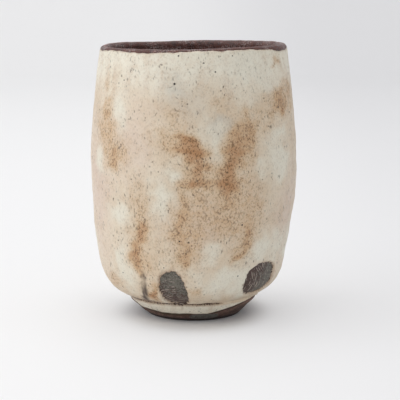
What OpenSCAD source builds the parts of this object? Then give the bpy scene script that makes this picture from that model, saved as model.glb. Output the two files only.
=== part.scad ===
// Tall tea cup of dark stoneware, thrown on a wheel and turned at the foot.
// A cream coat covers the outside, and a dark iron coat covers the lip and the inside.
// All pieces share one outline of the finished cup, so they meet along the same faces.
// Sizes are in millimetres. The cup stands on z = 0, its axis is the Z axis and its front faces -Y.
// Directions round the cup are in degrees from the front, positive towards +X.

/* [Cup] */
// Height from the table to the top of the lip
cup_h = 96; // [86:1:110]
// Widest diameter of the belly, over the coat
belly_d = 73.4; // [70:0.2:80]
// Height of the widest place
belly_z = 56; // [48:1:62]
// How far the lip is drawn in from the belly, on each side
lip_in = 3.7; // [1:0.1:6]
// Power of the curve above the belly, from 1 for a cone to 2 for an arc
lip_power = 1.45; // [1.2:0.05:2]
// How far the belly draws in evenly on its way down to the ledge of the foot, on each side
belly_in = 6; // [4.6:0.1:7]
// How far it draws in further at its lower corner, where the turning tool rounded it
corner_in = 6.6; // [5:0.1:8]
// Height over which that corner runs out into the belly
corner_h = 3.1; // [2:0.1:4.5]

/* [Wall] */
// Thickness of the rounded lip, with its coat
lip_t = 3.4; // [2.6:0.1:4.2]
// Thickness of the wall just above the floor
wall_t = 5.2; // [4.2:0.1:6.4]
// Thickness of the floor over the hollow of the foot
floor_t = 5.4; // [4.4:0.1:7]
// Radius of the round between floor and wall, inside
floor_round = 14; // [9:0.5:17]
// Height of one throwing ring inside
throw_pitch = 7.5; // [5:0.5:11]
// Depth of the throwing rings
throw_depth = 0.3; // [0.1:0.05:0.5]

/* [Foot] */
// Height of the ledge between foot and belly
ledge_z = 7.8; // [7.2:0.1:9.4]
// How far the ledge stands in from the lower end of the belly
ledge_in = 0.2; // [0.1:0.1:0.8]
// Depth of the line that the turning tool cut between ledge and belly
line_depth = 0.7; // [0.3:0.1:1]
// Width of that line
line_w = 0.9; // [0.7:0.1:1.4]
// How far the bevel under the ledge runs in, down to the edge of the cream coat
bevel_in = 3.3; // [2.6:0.1:4.4]
// Height of the bare clay under that edge
bare_h = 3.4; // [2.6:0.1:4.2]
// How far the bare clay runs in, down to the table
bare_in = 3.2; // [2:0.1:5]
// Width of the ring that rests on the table
rest_w = 2.8; // [2:0.1:4]
// Bevel that keeps the edges of that ring from chipping
rest_bevel = 0.7; // [0.3:0.1:0.9]
// Depth of the hollow under the foot
hollow_h = 5.6; // [5:0.1:6.6]
// Radius of the round at the top of the hollow
hollow_round = 1.6; // [0.8:0.1:2.4]
// Height of the small cone that turning left in the middle of the hollow
nipple_h = 0.9; // [0.4:0.1:1.2]
// Diameter of that cone
nipple_d = 8; // [5:0.5:11]

/* [Coats] */
// Thickness of the cream coat
cream_t = 0.7; // [0.4:0.05:1]
// Thickness of the iron coat
iron_t = 0.4; // [0.25:0.05:0.6]
// Height under the lip over which the cream coat thins out
cream_fade_h = 9; // [4:0.5:14]
// How far the lower edge of the cream coat bulges where the glaze gathered
cream_roll = 0.25; // [0.1:0.05:0.4]
// Thickness of the film of glaze in the finger marks and on the foot
film_t = 0.25; // [0.15:0.05:0.35]

/* [Finger marks] */
// Height of the middle of the marks over the ledge
mark_rise = 6.6; // [5.6:0.2:9]
// Tilt of the marks out of the upright, to follow the round of the belly
mark_tilt = 28; // [20:1:36]
// Directions of the four fingers that held the cup
finger_turns = [-12, 46, 103, 155]; // [-180:1:180]
// Leans of their marks, positive with the lower end to the right
finger_leans = [12, -40, -20, 8]; // [-45:1:45]
// Widths of their marks
finger_ws = [9.4, 13.8, 11.4, 10.6]; // [8:0.2:14]
// Lengths of their marks
finger_ls = [16, 15.5, 15.5, 14]; // [14:0.5:18]
// Direction of the thumb that held the cup from behind
thumb_turn = -118; // [-150:1:-70]
// Lean of its mark
thumb_lean = 10; // [-45:1:45]
// Width of its mark
thumb_w = 13; // [10:0.2:14]
// Length of its mark
thumb_l = 16.5; // [14:0.5:18]

/* [Bare arch] */
// Cream coat left between the ledge and the bare arch that was rubbed off beside the foot
arch_drop = 1; // [0.5:0.1:3]
// Radius of that arch
arch_r = 56; // [44:1:70]
// Direction of the arch
arch_turn = 76; // [60:1:120]

/* [Foot smear] */
// Direction of the smear of glaze on the bare foot
smear_turn = 11; // [-10:1:25]
// Angle round the foot that the smear covers
smear_angle = 32; // [20:1:45]
// Clay left bare between the smear and the edge of the cream coat
smear_gap = 0.3; // [0.2:0.1:1]

/* [Hidden] */
$fn = 96;

// Overrun of the cut for the arch
over = 1;
// Powers of the curve under the belly, and of the wall's growth towards the floor
belly_power = 1.87;
wall_power = 0.8;
// Steps along each stretch of the outline
roll_steps = 4;
shoulder_steps = 18;
barrel_steps = 12;
lip_steps = 12;
ring_steps = 6;
floor_steps = 8;
hollow_steps = 4;

belly_r = belly_d / 2;
lip_r = belly_r - lip_in;
shoulder_r = belly_r - belly_in - corner_in;
ledge_r = shoulder_r - ledge_in;
bare_r = ledge_r - bevel_in;
rest_r = bare_r - bare_in;
hollow_r = rest_r - rest_w;
mark_z = ledge_z + mark_rise;
arch_h = ledge_z - arch_drop;
lip_round = lip_t / 2;
lip_z = cup_h - lip_round;
floor_z = hollow_h + floor_t;
bend_z = floor_z + floor_round;
ring_count = floor((lip_z - bend_z) / throw_pitch);
rings_h = ring_count * throw_pitch;
rings_top = lip_z - (lip_z - bend_z - rings_h) / 2;

function blend(a, b, share) = a + (b - a) * share;
function slice(pts, first, end) = [for (i = [first : end]) pts[i]];
function backwards(pts) = [for (i = [len(pts) - 1 : -1 : 0]) pts[i]];

// Unit normal of an outline at point i, to the right of its direction
function normal_at(pts, i) =
    let (step = pts[min(i + 1, len(pts) - 1)] - pts[max(i - 1, 0)])
    [step[1], -step[0]] / norm(step);

// Finished radius of the outside at height z, above and below the belly
function above_belly(z) = blend(belly_r, lip_r,
    pow((z - belly_z) / (lip_z - belly_z), lip_power));
function below_belly(z) = belly_r
    - belly_in * pow((belly_z - z) / (belly_z - ledge_z), belly_power)
    - corner_in * exp((ledge_z - z) / corner_h);
function outside_r(z) = z > belly_z ? above_belly(z) : below_belly(z);

// Finished radius of the inside at height z, with its throwing rings
function wall_at(z) = blend(lip_t, wall_t, pow((lip_z - z) / (lip_z - bend_z), wall_power));
function ring_at(z) = z > rings_top || z < rings_top - rings_h ? 0
    : throw_depth * (1 - cos(360 * (rings_top - z) / throw_pitch)) / 2;
function inside_r(z) = outside_r(z) - wall_at(z) + ring_at(z);

// The finished outline, from the lower edge of the cream coat up the outside
bevel_low = [bare_r, bare_h];
bevel_high = [ledge_r, ledge_z - line_w];
bevel_pts = [for (i = [0 : roll_steps])
    let (share = i / roll_steps)
    blend(bevel_low, bevel_high, share)
        + cream_roll * sin(180 * share) * normal_at([bevel_low, bevel_high], 0)];
line_pt = [ledge_r - line_depth, ledge_z - line_w / 2];
shoulder_pts = [for (i = [0 : shoulder_steps])
    let (z = blend(belly_z, ledge_z, cos(90 * i / shoulder_steps)))
    [outside_r(z), z]];
barrel_pts = [for (i = [1 : barrel_steps])
    let (z = blend(belly_z, lip_z, i / barrel_steps))
    [outside_r(z), z]];

// Its continuation over the lip, down the inside and across the floor
lip_pts = [for (i = [1 : lip_steps])
    let (turn = 180 * i / lip_steps)
    [lip_r - lip_round, lip_z] + lip_round * [cos(turn), sin(turn)]];
inside_pts = [for (i = [0 : ring_count * ring_steps])
    let (z = rings_top - throw_pitch * i / ring_steps)
    [inside_r(z), z]];
floor_pts = [
    for (i = [0 : floor_steps])
        let (turn = 90 * i / floor_steps)
        [inside_r(bend_z) - floor_round, bend_z] + floor_round * [cos(turn), -sin(turn)],
    [0, floor_z]
];

outside_pts = concat(bevel_pts, [line_pt], shoulder_pts, barrel_pts);
finished_pts = concat(outside_pts, lip_pts, inside_pts, floor_pts);
cream_end = len(outside_pts) - 1;
last = len(finished_pts) - 1;

// The clay under the coats, point for point under the finished outline
function coat_at(i) = i > cream_end ? iron_t
    : blend(iron_t, cream_t, min(1, (lip_z - finished_pts[i][1]) / cream_fade_h));
clay_pts = [
    for (i = [0 : last - 1])
        finished_pts[i] - coat_at(i) * normal_at(finished_pts, i),
    [0, floor_z - iron_t]
];

// The turned foot, from the middle of the hollow to its outer edge
foot_pts = [
    [0, hollow_h - nipple_h],
    [nipple_d / 2, hollow_h],
    for (i = [0 : hollow_steps])
        let (turn = 90 * i / hollow_steps)
        [hollow_r - hollow_round, hollow_h - hollow_round] + hollow_round * [sin(turn), cos(turn)],
    [hollow_r, rest_bevel],
    [hollow_r + rest_bevel, 0],
    [rest_r - rest_bevel, 0],
    [rest_r, rest_bevel]
];
foot_edge = foot_pts[len(foot_pts) - 1];

module turned(pts) {
    rotate_extrude()
        polygon(pts);
}

// A coat between the clay and the finished outline, from one of their points to another
module coat(first, end) {
    turned(concat(slice(finished_pts, first, end), backwards(slice(clay_pts, first, end))));
}

// Two rounds, with straight sides between them where the fingertip is longer than it is wide
module fingertip_outline(w, l) {
    for (side = [-1, 1])
        translate([0, side * (l - w) / 2])
            circle(d = w);
    if (l > w)
        square([w, l - w], center = true);
}

// A prism across the coat where a fingertip touched it
module mark(turn, lean, w, l) {
    rotate([0, 0, turn])
        translate([0, -outside_r(mark_z), mark_z])
            rotate([90 + mark_tilt, 0, 0])
                rotate([0, 0, lean])
                    translate([0, 0, -w / 2])
                        linear_extrude(w)
                            fingertip_outline(w, l);
}

module hand_marks() {
    for (i = [0 : len(finger_turns) - 1])
        mark(finger_turns[i], finger_leans[i], finger_ws[i], finger_ls[i]);
    mark(thumb_turn, thumb_lean, thumb_w, thumb_l);
}

module arch() {
    rotate([0, 0, arch_turn])
        translate([0, 0, arch_h - arch_r])
            rotate([90, 0, 0])
                cylinder(r = arch_r, h = ledge_r + over);
}

// Thrown wall and floor and turned foot, one piece of fired clay
module clay_body() {
    color("#4a332b")
        turned(concat(foot_pts, clay_pts));
}

// Cream coat outside, open where the fingers held the cup and over the arch
module cream_glaze() {
    color("#d9cdb2")
        difference() {
            coat(0, cream_end);
            hand_marks();
            arch();
        }
}

// Iron coat over the lip, down the inside and across the floor
module iron_glaze() {
    color("#5a3a33")
        coat(cream_end, last);
}

// Grey film of glaze that stayed on the clay in the finger marks
film_first = len(bevel_pts);
film_end = film_first + shoulder_steps;
film_pts = [for (i = [film_first : film_end])
    clay_pts[i] + film_t * normal_at(clay_pts, i)];
module finger_films() {
    color("#6f7470")
        intersection() {
            turned(concat(film_pts, backwards(slice(clay_pts, film_first, film_end))));
            hand_marks();
        }
}

// Grey smear of glaze that ran down on the bare foot
foot_slope = [foot_edge, clay_pts[0]];
smear_out = film_t * normal_at(foot_slope, 0);
smear_share = 1 - smear_gap / norm(foot_slope[1] - foot_slope[0]);
smear_low = blend(foot_slope[0], foot_slope[1], 1 - smear_share);
smear_high = blend(foot_slope[0], foot_slope[1], smear_share);
module foot_smear() {
    color("#656a66")
        rotate([0, 0, smear_turn - 90 - smear_angle / 2])
            rotate_extrude(angle = smear_angle)
                polygon([smear_low, smear_low + smear_out, smear_high + smear_out, smear_high]);
}

clay_body();
cream_glaze();
iron_glaze();
finger_films();
foot_smear();
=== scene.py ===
"""Looks of a tall stoneware tea cup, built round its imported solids.

The cup was thrown, turned at the foot, lined with a dark iron glaze and dipped in a thick cream glaze.
Shapes are worked out in millimetres and written into the meshes in metres, in the frame of the solids.
Directions round the cup are in degrees from its front, which faces -Y, and grow towards +X.
"""

import logging
import math
from dataclasses import dataclass, field
from enum import Enum

import bpy
import numpy as np
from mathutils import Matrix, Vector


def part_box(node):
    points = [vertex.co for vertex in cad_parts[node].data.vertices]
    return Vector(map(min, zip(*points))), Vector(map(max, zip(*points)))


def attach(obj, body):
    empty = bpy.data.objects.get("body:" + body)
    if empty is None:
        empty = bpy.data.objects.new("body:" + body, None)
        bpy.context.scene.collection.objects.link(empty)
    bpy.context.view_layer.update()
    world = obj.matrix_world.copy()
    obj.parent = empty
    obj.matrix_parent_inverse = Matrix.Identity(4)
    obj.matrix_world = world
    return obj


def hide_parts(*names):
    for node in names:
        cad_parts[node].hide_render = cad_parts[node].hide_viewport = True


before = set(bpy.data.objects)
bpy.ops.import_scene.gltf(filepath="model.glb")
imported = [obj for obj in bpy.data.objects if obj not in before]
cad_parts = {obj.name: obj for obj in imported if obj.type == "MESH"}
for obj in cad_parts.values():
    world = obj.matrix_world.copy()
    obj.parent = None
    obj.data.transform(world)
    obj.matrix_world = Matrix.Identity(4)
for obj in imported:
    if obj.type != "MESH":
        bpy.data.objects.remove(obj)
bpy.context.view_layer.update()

Array = np.ndarray
Socket = bpy.types.NodeSocket
Inputs = dict[str | int, object]
Triple = tuple[float, float, float]
LOG = logging.getLogger("tea_cup")
# One millimetre in metres
MM = 0.001
# Radius of the plain cylinder on which noise is read, in millimetres
NOISE_R = 30.0
# Stands for any distance that is far from an edge, in millimetres
FAR = 9.0
# Less than any length that counts, in millimetres
TINY = 1e-6


def smooth(value: Array, low: Array | float, high: Array | float) -> Array:
    """A smooth step: 0 up to low, 1 from high on, and 3t^2 - 2t^3 between them."""
    share = np.clip((value - low) / (high - low), 0.0, 1.0)
    return share * share * (3.0 - 2.0 * share)


def round_points(azimuth: Array, radius: Array | float, z: Array | float) -> Array:
    """Points at a direction, a radius and a height.

    Args:
        azimuth: Degrees from the front.
        radius: Distance from the axis, in millimetres.
        z: Height, in millimetres.

    Returns:
        An array with x, y and z in its last axis.
    """
    turn = np.radians(azimuth)
    return np.stack(np.broadcast_arrays(radius * np.sin(turn), -radius * np.cos(turn), z), axis=-1)


def noise_spot(azimuth: Array, z: Array | float) -> Array:
    """Places on a plain cylinder, where the noise is read, so that all layers read the same."""
    return round_points(azimuth, NOISE_R, z)


def drawn_out(spot: Array, share: float) -> Array:
    """Places squeezed in height to a share, so that the noise read there is drawn out upwards."""
    return spot * [1.0, 1.0, share]


def turn_between(azimuth: Array, middle: float) -> Array:
    """Degrees from middle to azimuth, the short way round."""
    return (azimuth - middle + 180.0) % 360.0 - 180.0


@dataclass(frozen=True)
class Arc:
    """A stretch of the way round the cup, faded at both ends.

    Attributes:
        middle: Direction of its middle.
        full: Degrees from the middle up to which it is whole.
        gone: Degrees from the middle from which nothing is left of it.
        size: Its height or strength where it is whole.
    """

    middle: float
    full: Array | float
    gone: Array | float
    size: float = 1.0

    def at(self, azimuth: Array) -> Array:
        """The size times a smooth step down with the distance from the middle."""
        return self.size * smooth(np.abs(turn_between(azimuth, self.middle)), self.gone, self.full)


@dataclass(frozen=True)
class Bell:
    """A rise that is highest in one direction.

    Attributes:
        middle: Direction of its top.
        half: Degrees from the top at which a share of 1/e is left.
        size: Its height or strength at the top.
    """

    middle: float
    half: float
    size: float = 1.0

    def at(self, azimuth: Array) -> Array:
        """The size times a bell: e to the power of minus the square of the distance over half."""
        return self.size * np.exp(-((turn_between(azimuth, self.middle) / self.half) ** 2))


@dataclass(frozen=True)
class Ripples:
    """Smooth seeded noise: a sum of plane waves in fixed random directions.

    Attributes:
        seed: Picks the directions, lengths and phases.
        length: Mean wavelength, in millimetres.
        size: Spread of the noise.
        count: How many waves are summed.
        lengths: Shares of the mean wavelength between which the waves lie.
    """

    seed: int
    length: float
    size: float = 1.0
    count: int = 32
    lengths: tuple[float, float] = (0.7, 1.5)

    def at(self, points: Array) -> Array:
        """The noise at places: a sine of the distance along each wave's direction, summed over the waves.

        Args:
            points: Places in millimetres, with x, y and z in the last axis.

        Returns:
            One value for each place.
        """
        rng = np.random.default_rng(self.seed)
        ways = rng.normal(size=(self.count, 3))
        lengths = self.length * rng.uniform(*self.lengths, (self.count, 1))
        ways /= np.linalg.norm(ways, axis=1, keepdims=True) * lengths
        phases = rng.uniform(0.0, math.tau, self.count)
        waves = np.sin(math.tau * points.reshape(-1, 3) @ ways.T + phases)
        spread = self.size * math.sqrt(2.0 / self.count)
        return (waves.sum(axis=1) * spread).reshape(points.shape[:-1])


class Outline:
    """A path in the half plane of radius and height, measured along its length in millimetres."""

    def __init__(self, points: Array) -> None:
        """Works out the lengths along the path, and the normals to its right.

        Args:
            points: Radius and height of each point. A point on top of the one before it is dropped.
        """
        steps = np.linalg.norm(np.diff(points, axis=0), axis=1)
        self.points = points[np.concatenate([[True], steps > TINY])]
        steps = np.linalg.norm(np.diff(self.points, axis=0), axis=1)
        self.lengths = np.concatenate([[0.0], np.cumsum(steps)])
        ways = np.gradient(self.points, self.lengths, axis=0)
        ways /= np.linalg.norm(ways, axis=1, keepdims=True)
        self.normals = np.stack([ways[:, 1], -ways[:, 0]], axis=1)

    @property
    def total(self) -> float:
        """The whole length of the path."""
        return float(self.lengths[-1])

    def at(self, length: Array) -> Array:
        """Radius and height at lengths along the path."""
        return np.stack([np.interp(length, self.lengths, self.points[:, k]) for k in (0, 1)], axis=-1)

    def normal(self, length: Array) -> Array:
        """Unit normals at lengths along the path."""
        return np.stack([np.interp(length, self.lengths, self.normals[:, k]) for k in (0, 1)], axis=-1)

    def rising_to(self, z: float) -> float:
        """The length at which the outside of the path, which rises, reaches a height.

        Args:
            z: The height, in millimetres.

        Returns:
            The length along the path, in millimetres.
        """
        top = int(np.argmax(self.points[:, 1]))
        start = int(np.argmin(self.points[:top, 1]))
        return float(np.interp(z, self.points[start:top, 1], self.lengths[start:top]))


@dataclass(frozen=True)
class CupForm:
    """Sizes of the finished cup in millimetres, as the solids have them, and the outlines that follow.

    Attributes:
        height: From the table to the top of the lip.
        belly_r: Widest radius, over the cream glaze.
        lip_r: Outer radius of the lip.
        belly_z: Height of the widest place.
        lip_power: Power of the curve above the belly, from 1 for a cone to 2 for an arc.
        belly_in: How far the belly draws in evenly on its way down to the ledge.
        belly_power: Power of the curve below the belly.
        corner_in: How far it draws in further at its lower corner.
        corner_h: Height over which that corner runs out into the belly.
        lip_t: Thickness of the rounded lip, with its glaze.
        wall_t: Thickness of the wall just above the floor.
        wall_power: Power by which the wall grows towards the floor.
        floor_z: Height of the floor inside.
        floor_round: Radius of the round between floor and wall.
        throw_pitch: Height of one throwing ring inside.
        throw_depth: Depth of the throwing rings.
        ledge_z: Height of the ledge between foot and belly.
        ledge_in: How far the ledge stands in from the lower end of the belly.
        line_w: Height of the turned line between the bevel and the ledge.
        bevel_in: How far the bevel under the ledge runs in.
        bare_h: Height of the bare clay under the bevel.
        bare_in: How far the bare clay runs in, down to the table.
        drip: Length that the glazed outline runs on down the bare foot.
        rest_w: Width of the ring that rests on the table.
        rest_bevel: Bevel at both edges of that ring.
        hollow_h: Depth of the hollow under the foot.
        hollow_round: Radius of the round at the top of the hollow.
        nipple_h: Height of the small cone in the middle of the hollow.
        nipple_r: Radius of that cone.
        cream_t: Thickness of the cream glaze.
        iron_t: Thickness of the iron glaze.
        cream_fade_h: Height under the lip over which the cream glaze thins out.
        cream_roll: How far the cream glaze bulges over the bevel.
        dense: Points on each curved stretch of the outline.
        straight: Points on each straight stretch under the foot.
    """

    height: float
    belly_r: float
    lip_r: float
    belly_z: float = 56.0
    lip_power: float = 1.45
    belly_in: float = 6.0
    belly_power: float = 1.87
    corner_in: float = 6.6
    corner_h: float = 3.1
    lip_t: float = 3.4
    wall_t: float = 5.2
    wall_power: float = 0.8
    floor_z: float = 11.0
    floor_round: float = 14.0
    throw_pitch: float = 7.5
    throw_depth: float = 0.3
    ledge_z: float = 7.8
    ledge_in: float = 0.2
    line_w: float = 0.9
    bevel_in: float = 3.3
    bare_h: float = 3.4
    bare_in: float = 3.2
    drip: float = 0.7
    rest_w: float = 2.8
    rest_bevel: float = 0.7
    hollow_h: float = 5.6
    hollow_round: float = 1.6
    nipple_h: float = 0.9
    nipple_r: float = 4.0
    cream_t: float = 0.7
    iron_t: float = 0.4
    cream_fade_h: float = 9.0
    cream_roll: float = 0.25
    dense: int = 400
    straight: int = 50

    @classmethod
    def from_frame(cls) -> "CupForm":
        """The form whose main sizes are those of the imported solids.

        Returns:
            The form, in millimetres.
        """
        lining_low, lining_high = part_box("iron_glaze")
        cream_low, cream_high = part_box("cream_glaze")
        return cls(
            height=lining_high[2] / MM,
            belly_r=(cream_high[0] - cream_low[0]) / 2 / MM,
            lip_r=(lining_high[0] - lining_low[0]) / 2 / MM,
        )

    @property
    def lip_z(self) -> float:
        """Height of the middle of the lip's round."""
        return self.height - self.lip_t / 2

    @property
    def shoulder_r(self) -> float:
        """Radius where the belly ends at the ledge."""
        return self.belly_r - self.belly_in - self.corner_in

    @property
    def ledge_r(self) -> float:
        """Radius of the ledge."""
        return self.shoulder_r - self.ledge_in

    @property
    def bare_r(self) -> float:
        """Radius at the lower edge of the cream glaze."""
        return self.ledge_r - self.bevel_in

    @property
    def rest_r(self) -> float:
        """Outer radius of the ring that rests on the table."""
        return self.bare_r - self.bare_in

    def outside(self, z: Array) -> Array:
        """Radius of the wall: a power curve above the belly, and below it another with a rounded corner.

        Args:
            z: Heights, in millimetres.

        Returns:
            The radius at each height.
        """
        up = np.clip((z - self.belly_z) / (self.lip_z - self.belly_z), 0.0, 1.0) ** self.lip_power
        down = np.clip((self.belly_z - z) / (self.belly_z - self.ledge_z), 0.0, 1.0) ** self.belly_power
        corner = self.corner_in * np.exp((self.ledge_z - z) / self.corner_h)
        below = self.belly_r - self.belly_in * down - corner
        return np.where(z > self.belly_z, self.belly_r + (self.lip_r - self.belly_r) * up, below)

    def inside(self, z: Array) -> Array:
        """Radius of the inner wall: the outside less a wall that thickens downwards, with throwing rings.

        Args:
            z: Heights, in millimetres.

        Returns:
            The radius at each height.
        """
        bend = self.floor_z + self.floor_round
        share = np.clip((self.lip_z - z) / (self.lip_z - bend), 0.0, 1.0)
        wall = self.lip_t + (self.wall_t - self.lip_t) * share**self.wall_power
        fade = smooth(self.lip_z - z, 0.0, self.throw_pitch) * smooth(z - bend, 0.0, self.throw_pitch)
        rings = self.throw_depth * (1.0 - np.cos(math.tau * (self.lip_z - z) / self.throw_pitch)) / 2
        return self.outside(z) - wall + rings * fade

    def finished(self) -> Outline:
        """The outline of the glazed cup, from the lower edge of the cream glaze to the floor's middle.

        It follows the bevel with a bulge of half a sine, the wall, the lip's half circle, the inner wall, the
        floor's quarter circle and the flat floor.

        Returns:
            The outline.
        """
        share = np.linspace(0.0, 1.0, self.dense)
        low = np.array([self.bare_r, self.bare_h])
        high = np.array([self.ledge_r, self.ledge_z - self.line_w])
        out = np.array([high[1] - low[1], low[0] - high[0]]) / np.linalg.norm(high - low)
        bulge = self.cream_roll * np.sin(math.pi * share)[:, None]
        bevel = low + share[:, None] * (high - low) + bulge * out
        run = np.array([self.rest_r, self.rest_bevel]) - low
        start = (low + run * self.drip / np.linalg.norm(run))[None, :]
        shoulder_z = self.belly_z + (self.ledge_z - self.belly_z) * np.cos(share * math.pi / 2)
        shoulder = np.stack([self.outside(shoulder_z), shoulder_z], axis=1)
        barrel_z = self.belly_z + (self.lip_z - self.belly_z) * share
        barrel = np.stack([self.outside(barrel_z), barrel_z], axis=1)
        turn = math.pi * share
        half = self.lip_t / 2
        lip = np.stack([self.lip_r - half + half * np.cos(turn), self.lip_z + half * np.sin(turn)], axis=1)
        bend = self.floor_z + self.floor_round
        inner_z = self.lip_z + (bend - self.lip_z) * share
        inner = np.stack([self.inside(inner_z), inner_z], axis=1)
        bend_r = float(self.inside(np.array(bend))) - self.floor_round
        floor_r = bend_r + self.floor_round * np.cos(turn / 2)
        floor = np.stack([floor_r, bend - self.floor_round * np.sin(turn / 2)], axis=1)
        flat = np.stack([bend_r * (1.0 - share), np.full_like(share, self.floor_z)], axis=1)
        return Outline(np.concatenate([start, bevel, shoulder, barrel, lip, inner, floor, flat]))

    def coat(self, outline: Outline, length: Array) -> Array:
        """Thickness of glaze over the clay: the cream's outside, thinner near the lip, and the iron's inside.

        Args:
            outline: The finished outline.
            length: Lengths along it.

        Returns:
            The thickness at each length.
        """
        z = outline.at(length)[..., 1]
        fade = np.clip((self.lip_z - z) / self.cream_fade_h, 0.0, 1.0)
        outer = length < outline.rising_to(self.height)
        return self.iron_t + (self.cream_t - self.iron_t) * np.where(outer, fade, 0.0)

    def clay(self, outline: Outline) -> Outline:
        """The outline of the clay, from the middle of the foot's hollow to the floor's middle.

        Args:
            outline: The finished outline, which lies a coat's thickness over the clay.

        Returns:
            The clay's outline.
        """
        share = np.linspace(0.0, 1.0, self.straight)[:, None]
        hollow_r = self.rest_r - self.rest_w
        turn = share * math.pi / 2
        corner = self.hollow_round * np.concatenate([np.sin(turn) - 1.0, np.cos(turn) - 1.0], axis=1)
        corners = np.array([
            [0.0, self.hollow_h - self.nipple_h],
            [self.nipple_r, self.hollow_h],
            [hollow_r - self.hollow_round, self.hollow_h],
        ])
        ring = np.array([
            [hollow_r, self.rest_bevel],
            [hollow_r + self.rest_bevel, 0.0],
            [self.rest_r - self.rest_bevel, 0.0],
            [self.rest_r, self.rest_bevel],
        ])
        under = outline.points - self.coat(outline, outline.lengths)[:, None] * outline.normals
        under[-1, 0] = 0.0
        knots = np.concatenate([corners, corner + [hollow_r, self.hollow_h], ring, under[:1]])
        pieces = [a + (b - a) * share for a, b in zip(knots[:-1], knots[1:])]
        return Outline(np.concatenate([*pieces, under]))


@dataclass(frozen=True)
class Hand:
    """The unevenness of a thrown and turned cup, which bends every layer of it alike.

    Attributes:
        tilt: Rise of the body at its right and drop at its left, in millimetres.
        tilt_r: Distance from the axis at which the tilt has that size.
        tilt_span: Heights between which the tilt sets in.
        sways: Heights, half heights and sizes of the bells by which the wall stands to the right of its axis.
        wobble: The slow waves of the wall, outwards and inwards.
        rim_wobble: The ups and downs of the lip.
        rim_span: Heights between which the ups and downs set in.
        still_span: Heights between which the foot, flat on the table, starts to follow the hand.
        core_span: Radii between which the floor starts to follow the wall.
        foot_fill: How far the bare foot stands out, so that it runs flush with the glaze's edge.
        foot_fill_left: How much more it stands out at the left, and less at the right.
        foot_ease: Lengths over which it comes to stand out over the table, and stops under the ledge.
    """

    tilt: float = 0.36
    tilt_r: float = 30.0
    tilt_span: tuple[float, float] = (2.0, 11.0)
    sways: tuple[Triple, ...] = ((46.0, 10.0, 0.25), (23.0, 15.0, -0.45))
    wobble: Ripples = Ripples(11, 60.0, 0.06)
    rim_wobble: Ripples = Ripples(12, 34.0, 0.1)
    rim_span: tuple[float, float] = (70.0, 94.0)
    still_span: tuple[float, float] = (0.4, 8.0)
    core_span: tuple[float, float] = (8.0, 20.0)
    foot_fill: float = 0.42
    foot_fill_left: float = 0.16
    foot_ease: tuple[float, float] = (2.2, 1.2)

    def shape(self, points: Array) -> Array:
        """Moves points of the true cup to where the hand left them.

        A point rises with its x, moves out along its radius by slow waves, moves right by flat-topped bells
        along the height, and moves up and down near the lip. The ring on the table stays flat.

        Args:
            points: Places on the true cup, in millimetres.

        Returns:
            The places moved.
        """
        x, y, z = np.moveaxis(points, -1, 0)
        radius = np.maximum(np.hypot(x, y), TINY)
        spot = noise_spot(np.degrees(np.arctan2(x, -y)), z)
        lift = smooth(z, *self.still_span)
        outer = smooth(radius, *self.core_span)
        right = sum(size * np.exp(-(((z - middle) / half) ** 4)) for middle, half, size in self.sways) * outer
        grown = 1.0 + self.wobble.at(spot) * lift * outer / radius
        rise = self.tilt * smooth(z, *self.tilt_span) * x / self.tilt_r
        rise = rise + self.rim_wobble.at(spot) * smooth(z, *self.rim_span)
        return np.stack([x * grown + right, y * grown, z + rise * lift], axis=-1)

    def fill(self, azimuth: Array, length: Array, span: tuple[float, float]) -> Array:
        """How far the bare foot stands out of its true outline.

        Args:
            azimuth: Degrees from the front.
            length: Lengths along the clay's outline.
            span: Lengths between which the foot lies.

        Returns:
            Millimetres along the outline's normal.
        """
        rising, falling = self.foot_ease
        full = self.foot_fill - self.foot_fill_left * np.sin(np.radians(azimuth))
        return full * smooth(length - span[0], 0.0, rising) * smooth(span[1] - length, 0.0, falling)


@dataclass(frozen=True)
class FingerMark:
    """Where a fingertip held the cup while it was glazed, on the unrolled wall.

    Attributes:
        turn: Direction of its middle.
        z: Height of its middle.
        wide: Width across, in millimetres.
        long: Length, in millimetres.
        lean: Degrees by which its lower end lies to the right.
        taper: Share by which it narrows at its lower end and widens at its upper end.
        power: Of its superellipse, where 2 gives an ellipse and more a squarer mark.
    """

    turn: float
    z: float
    wide: float
    long: float
    lean: float
    taper: float = 0.0
    power: float = 2.4

    def local(self, right: Array, up: Array) -> tuple[Array, Array]:
        """Distances across and along the mark of places right and up of its middle."""
        cos, sin = math.cos(math.radians(self.lean)), math.sin(math.radians(self.lean))
        return right * cos + up * sin, up * cos - right * sin

    def placed(self, across: Array, along: Array) -> tuple[Array, Array]:
        """Distances right and up of the middle of places across and along the mark."""
        cos, sin = math.cos(math.radians(self.lean)), math.sin(math.radians(self.lean))
        return across * cos - along * sin, across * sin + along * cos

    def half_width(self, along: Array) -> Array:
        """Half the width at a place along the mark."""
        return self.wide / 2 * (1.0 + self.taper * np.clip(2.0 * along / self.long, -1.0, 1.0))

    def distance(self, right: Array, up: Array) -> Array:
        """Distance out of the mark's edge: how much the superellipse has to grow to reach a place.

        Args:
            right: Millimetres to the right of the middle, along the wall.
            up: Millimetres up from the middle, along the wall.

        Returns:
            Millimetres, below zero inside the mark.
        """
        across, along = self.local(right, up)
        share = np.abs(across / self.half_width(along)) ** self.power
        share = (share + np.abs(2.0 * along / self.long) ** self.power) ** (1.0 / self.power)
        return (share - 1.0) * self.wide / 2


FINGER_MARKS = (
    FingerMark(turn=-12.2, z=13.0, wide=9.0, long=16.8, lean=8.0, taper=0.06, power=2.5),
    FingerMark(turn=48.0, z=15.6, wide=12.6, long=15.0, lean=-84.0, taper=-0.04),
    FingerMark(turn=103.0, z=15.2, wide=11.4, long=15.5, lean=-20.0, taper=0.1),
    FingerMark(turn=155.0, z=14.8, wide=10.6, long=14.0, lean=8.0, taper=0.12),
    FingerMark(turn=-118.0, z=15.4, wide=13.0, long=16.5, lean=10.0, taper=0.08),
)


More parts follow.
